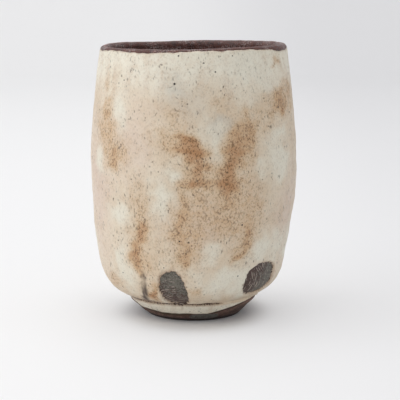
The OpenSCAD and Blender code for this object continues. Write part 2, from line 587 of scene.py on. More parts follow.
def build_mesh(name: str, grid: Array, poles: bool, fields: dict[str, Array]) -> bpy.types.Object:
    """A closed mesh from a grid of rings.

    Args:
        name: Name of the object and its mesh.
        grid: Points in millimetres as rings, places round each ring, and x, y and z.
        poles: True closes the first and last ring with a point in their middle, false joins them.
        fields: One value for each point of the grid, stored under each name.

    Returns:
        The object, linked to the scene, at the origin.
    """
    rings, places = grid.shape[:2]
    here = np.arange(rings * places).reshape(rings, places)
    right = np.roll(here, -1, axis=1)
    low, high = (here[:-1], here[1:]) if poles else (here, np.roll(here, -1, axis=0))
    low_right, high_right = (right[:-1], right[1:]) if poles else (right, np.roll(right, -1, axis=0))
    faces = np.stack([low, low_right, high_right, high], axis=-1).reshape(-1, 4).tolist()
    points = grid.reshape(-1, 3)
    values = {key: np.broadcast_to(value, grid.shape[:2]).reshape(-1) for key, value in fields.items()}
    if poles:
        first, last = len(points), len(points) + 1
        points = np.concatenate([points, [grid[0].mean(axis=0), grid[-1].mean(axis=0)]])
        faces += np.stack([np.full(places, first), right[0], here[0]], axis=1).tolist()
        faces += np.stack([here[-1], right[-1], np.full(places, last)], axis=1).tolist()
        values = {key: np.concatenate([value, [value[0], value[-1]]]) for key, value in values.items()}
    mesh = bpy.data.meshes.new(name)
    mesh.from_pydata((points * MM).tolist(), [], faces)
    mesh.polygons.foreach_set("use_smooth", np.ones(len(mesh.polygons), dtype=bool))
    for key, value in values.items():
        attribute = mesh.attributes.new(key, "FLOAT", "POINT")
        attribute.data.foreach_set("value", np.ascontiguousarray(value, dtype=np.float32))
    mesh.update()
    piece = bpy.data.objects.new(name, mesh)
    bpy.context.scene.collection.objects.link(piece)
    return piece


def spaced(stops: tuple[tuple[float, int], ...], start: float) -> Array:
    """Lengths along a path, evenly spaced between each two stops.

    Args:
        stops: Each stop, and the number of steps that lead to it.
        start: The first length.

    Returns:
        All lengths in order.
    """
    parts = [np.array([start])]
    for stop, steps in stops:
        parts.append(np.linspace(parts[-1][-1], stop, steps + 1)[1:])
    return np.concatenate(parts)


def round_ring(places: int) -> Array:
    """Directions of evenly spaced places round the cup, as a row."""
    return np.linspace(0.0, 360.0, places, endpoint=False)[None, :]


@dataclass(frozen=True)
class Edges:
    """Where the cream glaze ends and where the line over the ledge is open, in millimetres and degrees.

    Attributes:
        arch_r: Radius of the arch that was rubbed bare at the right of the foot.
        arch_top: Height of its top, and of the highest place of the lower edge.
        arch_turn: Direction of its middle.
        arch_on: Radius round the axis on which the arch lies, as a share of the ledge's.
        low_z: Height of the lower edge away from the arch.
        low_least: Height of the lowest place of the lower edge.
        low_rises: Rises of the lower edge, at the left.
        high_z: Height of the upper edge under the lip.
        high_dips: Dips of the upper edge at the left, at the right and behind.
        lip_over: Length past the middle of the lip's round from which no cream can lie.
        line_open: Where the turned line is open.
        line_broken: Where it is open in places.
        line_drop: Length by which the middle of the line lies before the ledge.
        line_half: Half width of the open line.
        line_closed: Distance off bare clay that a closed line stands for.
        groove: Depth of the line.
        groove_half: Half width of the bell that is the line's section.
    """

    arch_r: float = 56.0
    arch_top: float = 7.1
    arch_turn: float = 76.0
    arch_on: float = 0.95
    low_z: float = 3.1
    low_least: float = 2.95
    low_rises: tuple[Arc, ...] = (Arc(-100.0, 20.0, 62.0, 1.5), Arc(-92.0, 26.0, 38.0, 2.2))
    high_z: float = 95.45
    high_dips: tuple[Arc | Bell, ...] = (
        Bell(-27.0, 12.0, 0.55),
        Bell(68.0, 16.0, 1.35),
        Arc(-170.0, 90.0, 120.0, 0.4),
    )
    lip_over: float = 2.0
    line_open: Arc = Arc(-62.0, 82.0, 91.0)
    line_broken: Arc = Arc(118.0, 50.0, 70.0, 0.8)
    line_drop: float = 0.35
    line_half: float = 0.36
    line_closed: float = 0.9
    groove: float = 0.5
    groove_half: float = 0.34


@dataclass(frozen=True)
class Scar:
    """A thin dark streak in the cream glaze beside the first finger mark, which widens downwards.

    Attributes:
        top_z: Height of its upper end.
        run: Height over which it unfolds.
        end_span: Heights between which its lower end fades out.
        turn: Direction of its upper end.
        lean: Degrees by which it moves left, evenly.
        hook: Degrees by which its lower end swings left.
        wall_r: Radius of the wall, by which degrees become millimetres.
        half: Half width of its upper end.
        widening: How much wider, on each side, it gets at its lower end.
    """

    top_z: float = 21.0
    run: float = 12.0
    end_span: tuple[float, float] = (7.8, 8.2)
    turn: float = -30.5
    lean: float = 1.6
    hook: float = 5.2
    wall_r: float = 28.0
    half: float = 0.8
    widening: float = 1.0

    def at(self, azimuth: Array, z: Array) -> Array:
        """How dark the streak is: full in its middle, with a soft edge on both sides, broken into strands.

        Args:
            azimuth: Degrees from the front.
            z: Heights, in millimetres.

        Returns:
            A share from 0 to 1.
        """
        down = np.clip((self.top_z - z) / self.run, 0.0, 1.1)
        middle = self.turn - self.lean * down - self.hook * down**5
        spot = noise_spot(azimuth, z)
        away = np.abs(np.radians(turn_between(azimuth, middle))) * self.wall_r
        away = away + Ripples(46, 2.2, 0.25).at(spot)
        half = self.half + self.widening * down**1.5
        core, fringe = 0.35, 1.35
        first_part, second_part = (0.0, 0.2), (0.3, 0.6)
        across = 1.0 - smooth(away, core * half, fringe * half)
        ends = 0.6 * smooth(down, *first_part) + 0.5 * smooth(down, *second_part)
        strands = 0.9 + Ripples(47, 1.6, 0.28).at(drawn_out(spot, 0.35))
        return np.clip(across * ends * smooth(z, *self.end_span) * strands, 0.0, 1.0)


class Kiln:
    """The shared surfaces of the cup: its outlines, the hand's unevenness and the places left bare."""

    def __init__(self, form: CupForm, hand: Hand, edges: Edges) -> None:
        """Works out the two outlines once.

        Args:
            form: Sizes of the cup.
            hand: How uneven it is.
            edges: Where the cream glaze ends.
        """
        self.form = form
        self.hand = hand
        self.edges = edges
        self.skin = form.finished()
        self.clay = form.clay(self.skin)
        self.ledge_s = self.skin.rising_to(form.ledge_z)
        self.lip_s = self.skin.rising_to(form.lip_z)
        foot_top = form.ledge_z - 1.2
        self.foot_span = (self.clay.rising_to(form.rest_bevel), self.clay.rising_to(foot_top))

    def line_fade(self, azimuth: Array) -> Array:
        """How much of the turned line over the ledge is left open: all at the left, parts of it behind."""
        broken = smooth(Ripples(31, 17.0).at(noise_spot(azimuth, z=8.0)), -0.7, 0.1)
        return np.maximum(self.edges.line_open.at(azimuth), self.edges.line_broken.at(azimuth) * broken)

    def groove(self, azimuth: Array, length: Array) -> Array:
        """Depth of the turned line at places of the skin: a bell across the line, times its openness.

        Args:
            azimuth: Degrees from the front.
            length: Lengths along the skin's outline.

        Returns:
            The depth, in millimetres.
        """
        edges = self.edges
        away = length - self.ledge_s + edges.line_drop
        return edges.groove * self.line_fade(azimuth) * np.exp(-((away / edges.groove_half) ** 2))

    def over(self, outline: Outline, azimuth: Array, length: Array, height: Array) -> Array:
        """Points at a height over an outline that is carried round the axis, shaped by the hand.

        Args:
            outline: The outline.
            azimuth: Degrees from the front.
            length: Lengths along the outline.
            height: Millimetres along the outline's normal.

        Returns:
            The points, in millimetres.
        """
        place = outline.at(length)
        normal = outline.normal(length)
        radius = place[..., 0] + height * normal[..., 0]
        return self.hand.shape(round_points(azimuth, radius, place[..., 1] + height * normal[..., 1]))

    def over_clay(self, azimuth: Array, length: Array, height: Array) -> Array:
        """Shaped points at a height over the clay, at lengths along the skin's outline."""
        drop = self.form.coat(self.skin, length) + self.groove(azimuth, length) - height
        return self.over(self.skin, azimuth, length, -drop)

    def on_clay(self, azimuth: Array, length: Array, height: Array) -> Array:
        """Shaped points at a height over the clay, along its own outline, whose bare foot stands out."""
        return self.over(self.clay, azimuth, length, height + self.hand.fill(azimuth, length, self.foot_span))

    def cream_low(self, azimuth: Array) -> Array:
        """Height of the cream glaze's lower edge: the higher of a level that rises at the left and a circle.

        The circle is the arch that was rubbed bare at the right.

        Args:
            azimuth: Degrees from the front.

        Returns:
            The height at each direction, in millimetres.
        """
        edges = self.edges
        turn = np.radians(turn_between(azimuth, edges.arch_turn))
        across = self.form.ledge_r * edges.arch_on * np.sin(turn)
        arch = edges.arch_top - edges.arch_r + np.sqrt(np.maximum(edges.arch_r**2 - across**2, 0.0))
        level = edges.low_z + sum(rise.at(azimuth) for rise in edges.low_rises)
        wave = Ripples(41, 14.0, 0.16).at(noise_spot(azimuth, z=4.0))
        height = np.where(np.cos(turn) > 0.0, np.maximum(arch, level), level) + wave
        return np.clip(height, edges.low_least, edges.arch_top)

    def cream_high(self, azimuth: Array) -> Array:
        """Height of the cream glaze's ragged upper edge under the lip: a level less its dips.

        Args:
            azimuth: Degrees from the front.

        Returns:
            The height at each direction, in millimetres.
        """
        spot = noise_spot(azimuth, z=94.0)
        dips = sum(dip.at(azimuth) for dip in self.edges.high_dips)
        return self.edges.high_z - dips + Ripples(43, 9.0, 0.08).at(spot) + Ripples(44, 3.0, 0.07).at(spot)

    def iron_spots(self) -> Array:
        """Middles and radii of the largest iron spots, on the surface of the cream glaze.

        Returns:
            One row for each spot: x, y, z and radius, in millimetres.
        """
        turns, heights, radii = np.array(IRON_SPOTS).T
        lengths = np.array([self.skin.rising_to(z) for z in heights])
        points = self.over_clay(turns, lengths, self.form.coat(self.skin, lengths))
        return np.concatenate([points, radii[:, None]], axis=1)

    def mark_distance(self, azimuth: Array, length: Array) -> Array:
        """Distance from the nearest finger mark at places of the skin, ragged by noise.

        Args:
            azimuth: Degrees from the front.
            length: Lengths along the skin's outline.

        Returns:
            Millimetres, below zero inside a mark.
        """
        place = self.skin.at(length)
        distances = []
        for mark in FINGER_MARKS:
            right = np.radians(turn_between(azimuth, mark.turn)) * place[..., 0]
            distances.append(mark.distance(right, length - self.skin.rising_to(mark.z)))
        spot = noise_spot(azimuth, place[..., 1])
        return np.min(distances, axis=0) + Ripples(51, 3.6, 0.15).at(spot) + Ripples(52, 1.4, 0.13).at(spot)

    def bare_distance(self, azimuth: Array, length: Array) -> Array:
        """Distance of places of the skin from the nearest bare place: the least over edges, line and marks.

        Args:
            azimuth: Degrees from the front.
            length: Lengths along the skin's outline.

        Returns:
            Millimetres, below zero where the cream is off.
        """
        form, edges = self.form, self.edges
        z = self.skin.at(length)[..., 1]
        bevel_h = form.ledge_z - form.line_w - form.bare_h
        slope = bevel_h / math.hypot(form.bevel_in, bevel_h)
        low = np.where(z < form.ledge_z, (z - self.cream_low(azimuth)) / slope, FAR)
        high = np.where(z > form.belly_z, self.cream_high(azimuth) - z, FAR)
        high = np.where(length > self.lip_s + edges.lip_over, -FAR, high)
        fade = self.line_fade(azimuth)
        line = np.abs(length - self.ledge_s + edges.line_drop)
        line = line - edges.line_half * fade + edges.line_closed * (1.0 - fade)
        return np.minimum(np.minimum(low, high), np.minimum(line, self.mark_distance(azimuth, length)))


class Tint(Enum):
    """What a patch of the cream glaze turned to in the fire."""

    RUST = "rust"
    PALE = "pale"
    BLUSH = "blush"
    SMOKE = "smoke"


@dataclass(frozen=True)
class Patch:
    """A soft-edged patch on the wall.

    Attributes:
        tint: What it turned to.
        turn: Direction of its middle.
        z: Height of its middle.
        wide: Half width, in millimetres.
        high: Half height, in millimetres.
        amount: Strength at its middle, up to 1.
        wall_r: Radius of the wall, by which degrees become millimetres.
    """

    tint: Tint
    turn: float
    z: float
    wide: float
    high: float
    amount: float
    wall_r: float = 35.0

    def at(self, azimuth: Array, z: Array) -> Array:
        """Strength of the patch at places: a bell.

        Args:
            azimuth: Degrees from the front.
            z: Heights, in millimetres.

        Returns:
            A share from 0 to 1.
        """
        right = np.radians(turn_between(azimuth, self.turn)) * self.wall_r
        away = (right / self.wide) ** 2 + ((z - self.z) / self.high) ** 2
        return self.amount * np.exp(-away)


def patches(tint: Tint, *rows: tuple[float, float, float, float, float]) -> tuple[Patch, ...]:
    """Patches of one tint, from the direction, height, half width, half height and amount of each."""
    return tuple(Patch(tint, *row) for row in rows)


# Direction, height, half width, half height and amount of each patch that shows from the front
FRONT_PATCHES = (
    patches(
        Tint.RUST,
        (-57.0, 75.0, 4.5, 7.5, 0.6),
        (-55.0, 66.0, 4.5, 5.0, 0.38),
        (-47.0, 60.5, 5.5, 4.5, 0.55),
        (-9.0, 64.4, 4.2, 2.6, 0.35),
        (-4.0, 64.0, 3.6, 2.6, 0.6),
        (1.0, 63.0, 3.8, 3.0, 1.0),
        (3.5, 58.0, 2.8, 3.6, 0.75),
        (1.5, 52.6, 4.2, 3.0, 0.75),
        (30.5, 72.0, 3.6, 4.6, 0.5),
        (27.5, 66.0, 4.2, 5.0, 0.6),
        (21.5, 58.5, 4.8, 5.5, 0.8),
        (15.5, 51.5, 4.8, 4.4, 0.85),
        (58.0, 76.0, 6.5, 3.6, 0.75),
        (28.5, 60.0, 4.2, 5.0, 0.4),
        (-13.0, 67.5, 7.0, 6.0, 0.34),
        (0.0, 33.0, 6.0, 9.0, 0.3),
        (70.0, 79.0, 5.0, 3.6, 0.36),
        (57.0, 91.0, 3.2, 1.3, 0.5),
        (4.0, 43.0, 10.0, 9.5, 0.24),
        (24.0, 41.0, 10.0, 11.0, 0.4),
        (-6.5, 36.0, 2.8, 15.0, 0.42),
        (27.0, 25.5, 2.8, 3.8, 0.74),
        (30.5, 32.5, 2.8, 5.0, 0.55),
        (-31.5, 46.0, 2.6, 8.0, 0.28),
        (-30.5, 33.0, 3.8, 7.5, 0.75),
        (-33.0, 25.0, 4.2, 5.0, 0.74),
        (-27.0, 14.0, 2.5, 2.9, 0.95),
        (4.0, 13.3, 3.6, 1.8, 0.5),
        (-58.0, 14.5, 5.5, 3.2, 0.55),
        (47.0, 72.0, 6.0, 5.0, 0.3),
        (-14.0, 24.0, 5.0, 4.0, 0.36),
        (-3.5, 25.0, 3.0, 4.0, 0.36),
        (14.0, 77.0, 5.0, 3.0, 0.2),
    )
    + patches(
        Tint.PALE,
        (45.0, 42.0, 3.6, 6.0, 0.3),
        (-44.0, 76.0, 3.8, 8.0, 0.75),
        (-44.0, 39.5, 6.2, 5.5, 0.85),
        (-50.0, 24.5, 4.4, 5.0, 0.85),
        (-20.0, 48.0, 4.6, 8.0, 0.74),
        (-6.2, 56.4, 3.5, 3.3, 0.85),
        (13.5, 65.5, 4.4, 5.0, 0.7),
        (-46.0, 17.0, 8.0, 5.0, 0.75),
        (31.0, 18.5, 7.0, 6.0, 0.85),
        (46.0, 27.5, 6.5, 4.5, 0.95),
        (62.0, 27.0, 6.0, 5.0, 0.7),
        (34.0, 12.0, 4.0, 3.0, 0.7),
        (0.0, 19.0, 4.0, 4.0, 0.5),
        (46.0, 60.0, 6.0, 8.0, 0.5),
        (-62.0, 58.0, 5.0, 6.0, 0.7),
        (4.0, 72.0, 3.2, 5.0, 0.4),
        (11.0, 27.5, 4.8, 3.8, 0.7),
        (56.0, 66.5, 5.4, 4.0, 0.75),
        (55.0, 55.0, 5.0, 5.2, 0.85),
        (38.0, 55.5, 2.8, 3.4, 0.6),
        (18.0, 15.5, 8.0, 4.8, 0.8),
        (-16.0, 24.0, 4.5, 3.6, 0.45),
        (36.0, 78.0, 4.0, 4.0, 0.35),
        (31.0, 90.0, 9.0, 5.0, 0.85),
        (46.0, 84.0, 6.0, 5.0, 0.5),
        (-22.0, 9.6, 2.6, 1.8, 0.6),
    )
    + patches(
        Tint.BLUSH,
        (-68.0, 48.0, 9.0, 24.0, 0.85),
        (-36.0, 66.0, 9.0, 13.0, 0.6),
        (66.0, 40.0, 8.0, 12.0, 0.6),
        (6.0, 37.0, 11.0, 9.0, 0.5),
    )
    + patches(
        Tint.SMOKE,
        (-8.0, 82.0, 5.5, 6.5, 0.6),
        (16.0, 70.0, 4.5, 3.5, 0.8),
        (0.0, 76.0, 5.0, 5.0, 0.25),
    )
)

# Direction, height and radius of each of the largest iron spots on the front
IRON_SPOTS = (
    (-10.5, 84.8, 0.5),
    (27.5, 36.8, 0.42),
    (55.0, 75.4, 0.42),
    (-8.5, 94.0, 0.36),
    (-30.0, 95.0, 0.3),
    (23.0, 93.5, 0.32),
    (12.5, 88.5, 0.36),
    (6.0, 91.5, 0.28),
    (-43.0, 85.5, 0.3),
    (-7.0, 32.0, 0.36),
    (-46.5, 19.0, 0.34),
    (28.5, 18.5, 0.34),
    (-16.5, 22.5, 0.34),
)


def back_patches(seed: int, count: int) -> tuple[Patch, ...]:
    """Patches for the side away from the front, of the same kinds and sizes, evenly spread with some scatter.

    Args:
        seed: Picks the places.
        count: How many patches.

    Returns:
        The patches.
    """
    rng = np.random.default_rng(seed)
    tints = (Tint.PALE, Tint.RUST, Tint.PALE, Tint.RUST, Tint.BLUSH)
    first_turn, turns, turn_step = 84.0, 192.0, 0.618
    first_z, heights, z_step, z_shift = 14.0, 68.0, 0.382, 0.13
    found = []
    for index in range(count):
        turn = first_turn + turns * ((index * turn_step) % 1.0) + rng.uniform(-5.0, 5.0)
        z = first_z + heights * ((index * z_step + z_shift) % 1.0) + rng.uniform(-3.0, 3.0)
        wide, high = rng.uniform(3.4, 6.5), rng.uniform(4.0, 10.0)
        found.append(Patch(tints[index % len(tints)], turn, z, wide, high, rng.uniform(0.4, 0.85)))
    return tuple(found)


def patch_fields(azimuth: Array, z: Array) -> dict[Tint, Array]:
    """Strength of each tint on the wall: patches laid over each other, their places warped by noise.

    Args:
        azimuth: Degrees from the front.
        z: Heights, in millimetres.

    Returns:
        A share from 0 to 1 for each tint.
    """
    spot = noise_spot(azimuth, z)
    right = azimuth + Ripples(61, 13.0, 1.3).at(spot) + Ripples(63, 5.0, 1.1).at(spot)
    up = z + Ripples(62, 13.0, 1.0).at(spot) + Ripples(64, 5.0, 0.8).at(spot)
    clear = {tint: np.ones(np.broadcast(azimuth, z).shape) for tint in Tint}
    for patch in FRONT_PATCHES + back_patches(65, 56):
        clear[patch.tint] = clear[patch.tint] * (1.0 - patch.at(right, up))
    strokes = Ripples(66, 4.5, 0.05).at(drawn_out(spot, 0.25)) + Ripples(67, 2.4, 0.025).at(spot)
    return {tint: np.clip(1.0 - value + strokes, 0.0, 1.0) for tint, value in clear.items()}


def linear(code: str) -> tuple[float, float, float, float]:
    """A colour in linear light, by the standard curve of screens.

    Args:
        code: Six hexadecimal digits, as the colour looks on a screen.

    Returns:
        Red, green, blue and 1 for opaque.
    """
    parts = [int(code[i:i + 2], 16) / 255.0 for i in (0, 2, 4)]
    red, green, blue = (p / 12.92 if p <= 0.04045 else ((p + 0.055) / 1.055) ** 2.4 for p in parts)
    return red, green, blue, 1.0


class Nodes:
    """Adds nodes to one shader tree, with plain numbers or sockets as inputs."""

    def __init__(self, tree: bpy.types.NodeTree) -> None:
        """Starts on an empty or fresh tree."""
        self.tree = tree

    def put(self, kind: str, inputs: Inputs | None = None, **settings: object) -> bpy.types.Node:
        """A node of that kind with its settings, and its inputs set or linked.

        Args:
            kind: The node's type name.
            inputs: Numbers, colours or sockets by input name or place.
            settings: Properties of the node.

        Returns:
            The node.
        """
        node = self.tree.nodes.new(kind)
        for key, value in settings.items():
            setattr(node, key, value)
        for key, value in (inputs or {}).items():
            if isinstance(value, bpy.types.NodeSocket):
                self.tree.links.new(value, node.inputs[key])
            else:
                node.inputs[key].default_value = value
        return node

    def link(self, source: Socket, node: bpy.types.Node, name: str) -> None:
        """Feeds an input of a node."""
        self.tree.links.new(source, node.inputs[name])

    def math(self, operation: str, *values: object) -> Socket:
        """A Math node's result, from numbers or sockets."""
        return self.put("ShaderNodeMath", dict(enumerate(values)), operation=operation).outputs[0]

    def step(self, value: object, low: object, high: object, start: float = 0.0, end: float = 1.0) -> Socket:
        """A smooth step of value from start at low to end at high."""
        inputs = {"Value": value, "From Min": low, "From Max": high, "To Min": start, "To Max": end}
        return self.put("ShaderNodeMapRange", inputs, interpolation_type="SMOOTHSTEP").outputs["Result"]

    def mix(self, share: object, first: object, second: object) -> Socket:
        """A colour between two colours."""
        inputs = {0: share, 6: first, 7: second}
        return self.put("ShaderNodeMix", inputs, data_type="RGBA").outputs[2]

    def layered(self, colour: Socket, *layers: tuple[Socket, str]) -> Socket:
        """Colours laid over one another in order, each by its own share.

        Args:
            colour: The lowest colour.
            *layers: Share and colour code of each layer.

        Returns:
            The colour.
        """
        for share, code in layers:
            colour = self.mix(share, colour, linear(code))
        return colour

    def stirred(self, value: Socket, mask: Socket, amount: float) -> Socket:
        """A value raised and lowered by a mask: the value plus the amount times the mask less a half."""
        return self.math("MULTIPLY_ADD", self.math("SUBTRACT", mask, 0.5), amount, value)

    def noise(self, vector: Socket, length: object, detail: float = 2.0) -> Socket:
        """Noise from 0 to 1.

        Args:
            vector: Where it is read.
            length: Size of its features, in the vector's units.
            detail: How many finer noises are in it.

        Returns:
            The noise.
        """
        scale = self.math("DIVIDE", 1.0, length) if isinstance(length, bpy.types.NodeSocket) else 1.0 / length
        inputs = {"Vector": vector, "Scale": scale, "Detail": detail}
        return self.put("ShaderNodeTexNoise", inputs).outputs["Fac"]

    def attribute(self, name: str) -> Socket:
        """A value stored on the mesh."""
        return self.put("ShaderNodeAttribute", attribute_name=name).outputs["Fac"]

    def millimetres(self) -> Socket:
        """Object coordinates in millimetres."""
        place = self.put("ShaderNodeTexCoord").outputs["Object"]
        return self.put("ShaderNodeMapping", {"Vector": place, "Scale": (1.0 / MM,) * 3}).outputs["Vector"]

    def stretched(self, vector: Socket, warp: float, length: float, scale: Triple) -> Socket:
        """A vector shifted by noise and then scaled.

        Args:
            vector: The vector, in millimetres.
            warp: The largest shift is half of this, in millimetres.
            length: Size of the noise's features, in millimetres.
            scale: Factor along each axis, where less than 1 draws a pattern out.

        Returns:
            The new vector.
        """
        noise = self.put("ShaderNodeTexNoise", {"Vector": vector, "Scale": 1.0 / length, "Detail": 1.0})
        shift = self.put("ShaderNodeVectorMath", {0: noise.outputs["Color"], 1: (-0.5,) * 3}, operation="ADD")
        inputs = {0: shift.outputs[0], 1: (warp,) * 3, 2: vector}
        moved = self.put("ShaderNodeVectorMath", inputs, operation="MULTIPLY_ADD")
        return self.put("ShaderNodeMapping", {"Vector": moved.outputs[0], "Scale": scale}).outputs["Vector"]


class Effects:
    """Shader node groups that several finishes share, each built once."""

    def __init__(self) -> None:
        """Builds all groups."""
        self.specks = self.build_specks()
        self.crazing = self.build_crazing()
        self.mottle = self.build_mottle()

    @staticmethod
    def group(name: str, numbers: dict[str, float]) -> tuple[Nodes, bpy.types.Node, bpy.types.Node]:
        """An empty group with a vector input, number inputs and one mask output.

        Args:
            name: The group's name.
            numbers: Name and usual value of each number input.

        Returns:
            The group's nodes, its input node and its output node.
        """
        tree = bpy.data.node_groups.new(name, "ShaderNodeTree")
        face = tree.interface
        face.new_socket("Vector", in_out="INPUT", socket_type="NodeSocketVector")
        for key, value in numbers.items():
            face.new_socket(key, in_out="INPUT", socket_type="NodeSocketFloat").default_value = value
        face.new_socket("Mask", in_out="OUTPUT", socket_type="NodeSocketFloat")
        nodes = Nodes(tree)
        return nodes, nodes.put("NodeGroupInput"), nodes.put("NodeGroupOutput")

    @staticmethod
    def cells(nodes: Nodes, start: bpy.types.Node, feature: str) -> tuple[bpy.types.Node, Socket]:
        """Cells of the group's spacing, and the distance in them.

        Args:
            nodes: The group's nodes.
            start: Its input node, with a vector and a spacing.
            feature: F1 for the distance from the cell's point, DISTANCE_TO_EDGE for that from its border.

        Returns:
            The node of the cells, and the distance in the vector's units.
        """
        scale = nodes.math("DIVIDE", 1.0, start.outputs["Spacing"])
        inputs = {"Vector": start.outputs["Vector"], "Scale": scale}
        cells = nodes.put("ShaderNodeTexVoronoi", inputs, feature=feature)
        return cells, nodes.math("MULTIPLY", cells.outputs["Distance"], start.outputs["Spacing"])

    def build_specks(self) -> bpy.types.NodeTree:
        """Dots of many sizes and strengths, in a share of the cells.

        A dot fades out from 0.35 of its radius. Its radius is 0.5 to 1.1 of the group's, by chance.

        Returns:
            The group.
        """
        nodes, start, end = self.group("scattered_specks", {"Spacing": 1.8, "Radius": 0.3, "Share": 0.6})
        cells, away = self.cells(nodes, start, "F1")
        chance = nodes.put("ShaderNodeSeparateColor", {"Color": cells.outputs["Color"]})
        size = nodes.math("MULTIPLY_ADD", chance.outputs[0], 0.6, 0.5)
        radius = nodes.math("MULTIPLY", size, start.outputs["Radius"])
        dot = nodes.step(away, nodes.math("MULTIPLY", radius, 0.35), radius, 1.0, 0.0)
        kept = nodes.math("LESS_THAN", chance.outputs[1], start.outputs["Share"])
        strength = nodes.step(chance.outputs[2], 0.0, 0.8, 0.35, 1.0)
        nodes.link(nodes.math("MULTIPLY", nodes.math("MULTIPLY", dot, kept), strength), end, "Mask")
        return nodes.tree

    def build_crazing(self) -> bpy.types.NodeTree:
        """Broken fine cracks: the borders of cells, kept only where a noise is high.

        Returns:
            The group.
        """
        nodes, start, end = self.group("broken_crazing", {"Spacing": 4.0, "Width": 0.1, "Share": 0.5})
        away = self.cells(nodes, start, "DISTANCE_TO_EDGE")[1]
        crack = nodes.step(away, 0.0, start.outputs["Width"], 1.0, 0.0)
        noise = nodes.noise(start.outputs["Vector"], 1.7)
        low = nodes.math("SUBTRACT", 0.86, nodes.math("MULTIPLY", start.outputs["Share"], 0.6))
        kept = nodes.step(noise, low, nodes.math("ADD", low, 0.1))
        nodes.link(nodes.math("MULTIPLY", crack, kept), end, "Mask")
        return nodes.tree

    def build_mottle(self) -> bpy.types.NodeTree:
        """Grainy clouds: a coarse noise and one of a third of its size, added, with more contrast.

        Returns:
            The group.
        """
        nodes, start, end = self.group("mottle", {"Size": 2.0, "Fine": 0.5})
        coarse = nodes.noise(start.outputs["Vector"], start.outputs["Size"])
        fine = nodes.noise(start.outputs["Vector"], nodes.math("MULTIPLY", start.outputs["Size"], 0.33))
        share = nodes.math("MULTIPLY", nodes.math("SUBTRACT", fine, 0.5), start.outputs["Fine"])
        nodes.link(nodes.step(nodes.math("ADD", coarse, share), 0.25, 0.75), end, "Mask")
        return nodes.tree

    @staticmethod
    def use(nodes: Nodes, tree: bpy.types.NodeTree, vector: Socket, **numbers: float) -> Socket:
        """The mask of a group placed in a material, with its own values for the number inputs."""
        inputs = {key.capitalize(): value for key, value in numbers.items()}
        return nodes.put("ShaderNodeGroup", {"Vector": vector, **inputs}, node_tree=tree).outputs["Mask"]


@dataclass(frozen=True)
class Finish:
    """A named material. Each kind of finish fills its own nodes in.

    Attributes:
        name: Name of the material.
    """

    name: str

    def start(self) -> tuple[bpy.types.Material, Nodes, bpy.types.Node]:
        """A new material.

        Returns:
            The material, its nodes and its Principled shader.
        """
        material = bpy.data.materials.new(self.name)
        material.use_nodes = True
        return material, Nodes(material.node_tree), material.node_tree.nodes["Principled BSDF"]

    @staticmethod
    def bump(nodes: Nodes, shader: bpy.types.Node, height: Socket, depth: float) -> None:
        """Feeds the shader's normal from a height whose 1 is depth millimetres."""
        node = nodes.put("ShaderNodeBump", {"Height": height, "Distance": depth * MM, "Strength": 1.0})
        nodes.link(node.outputs["Normal"], shader, "Normal")


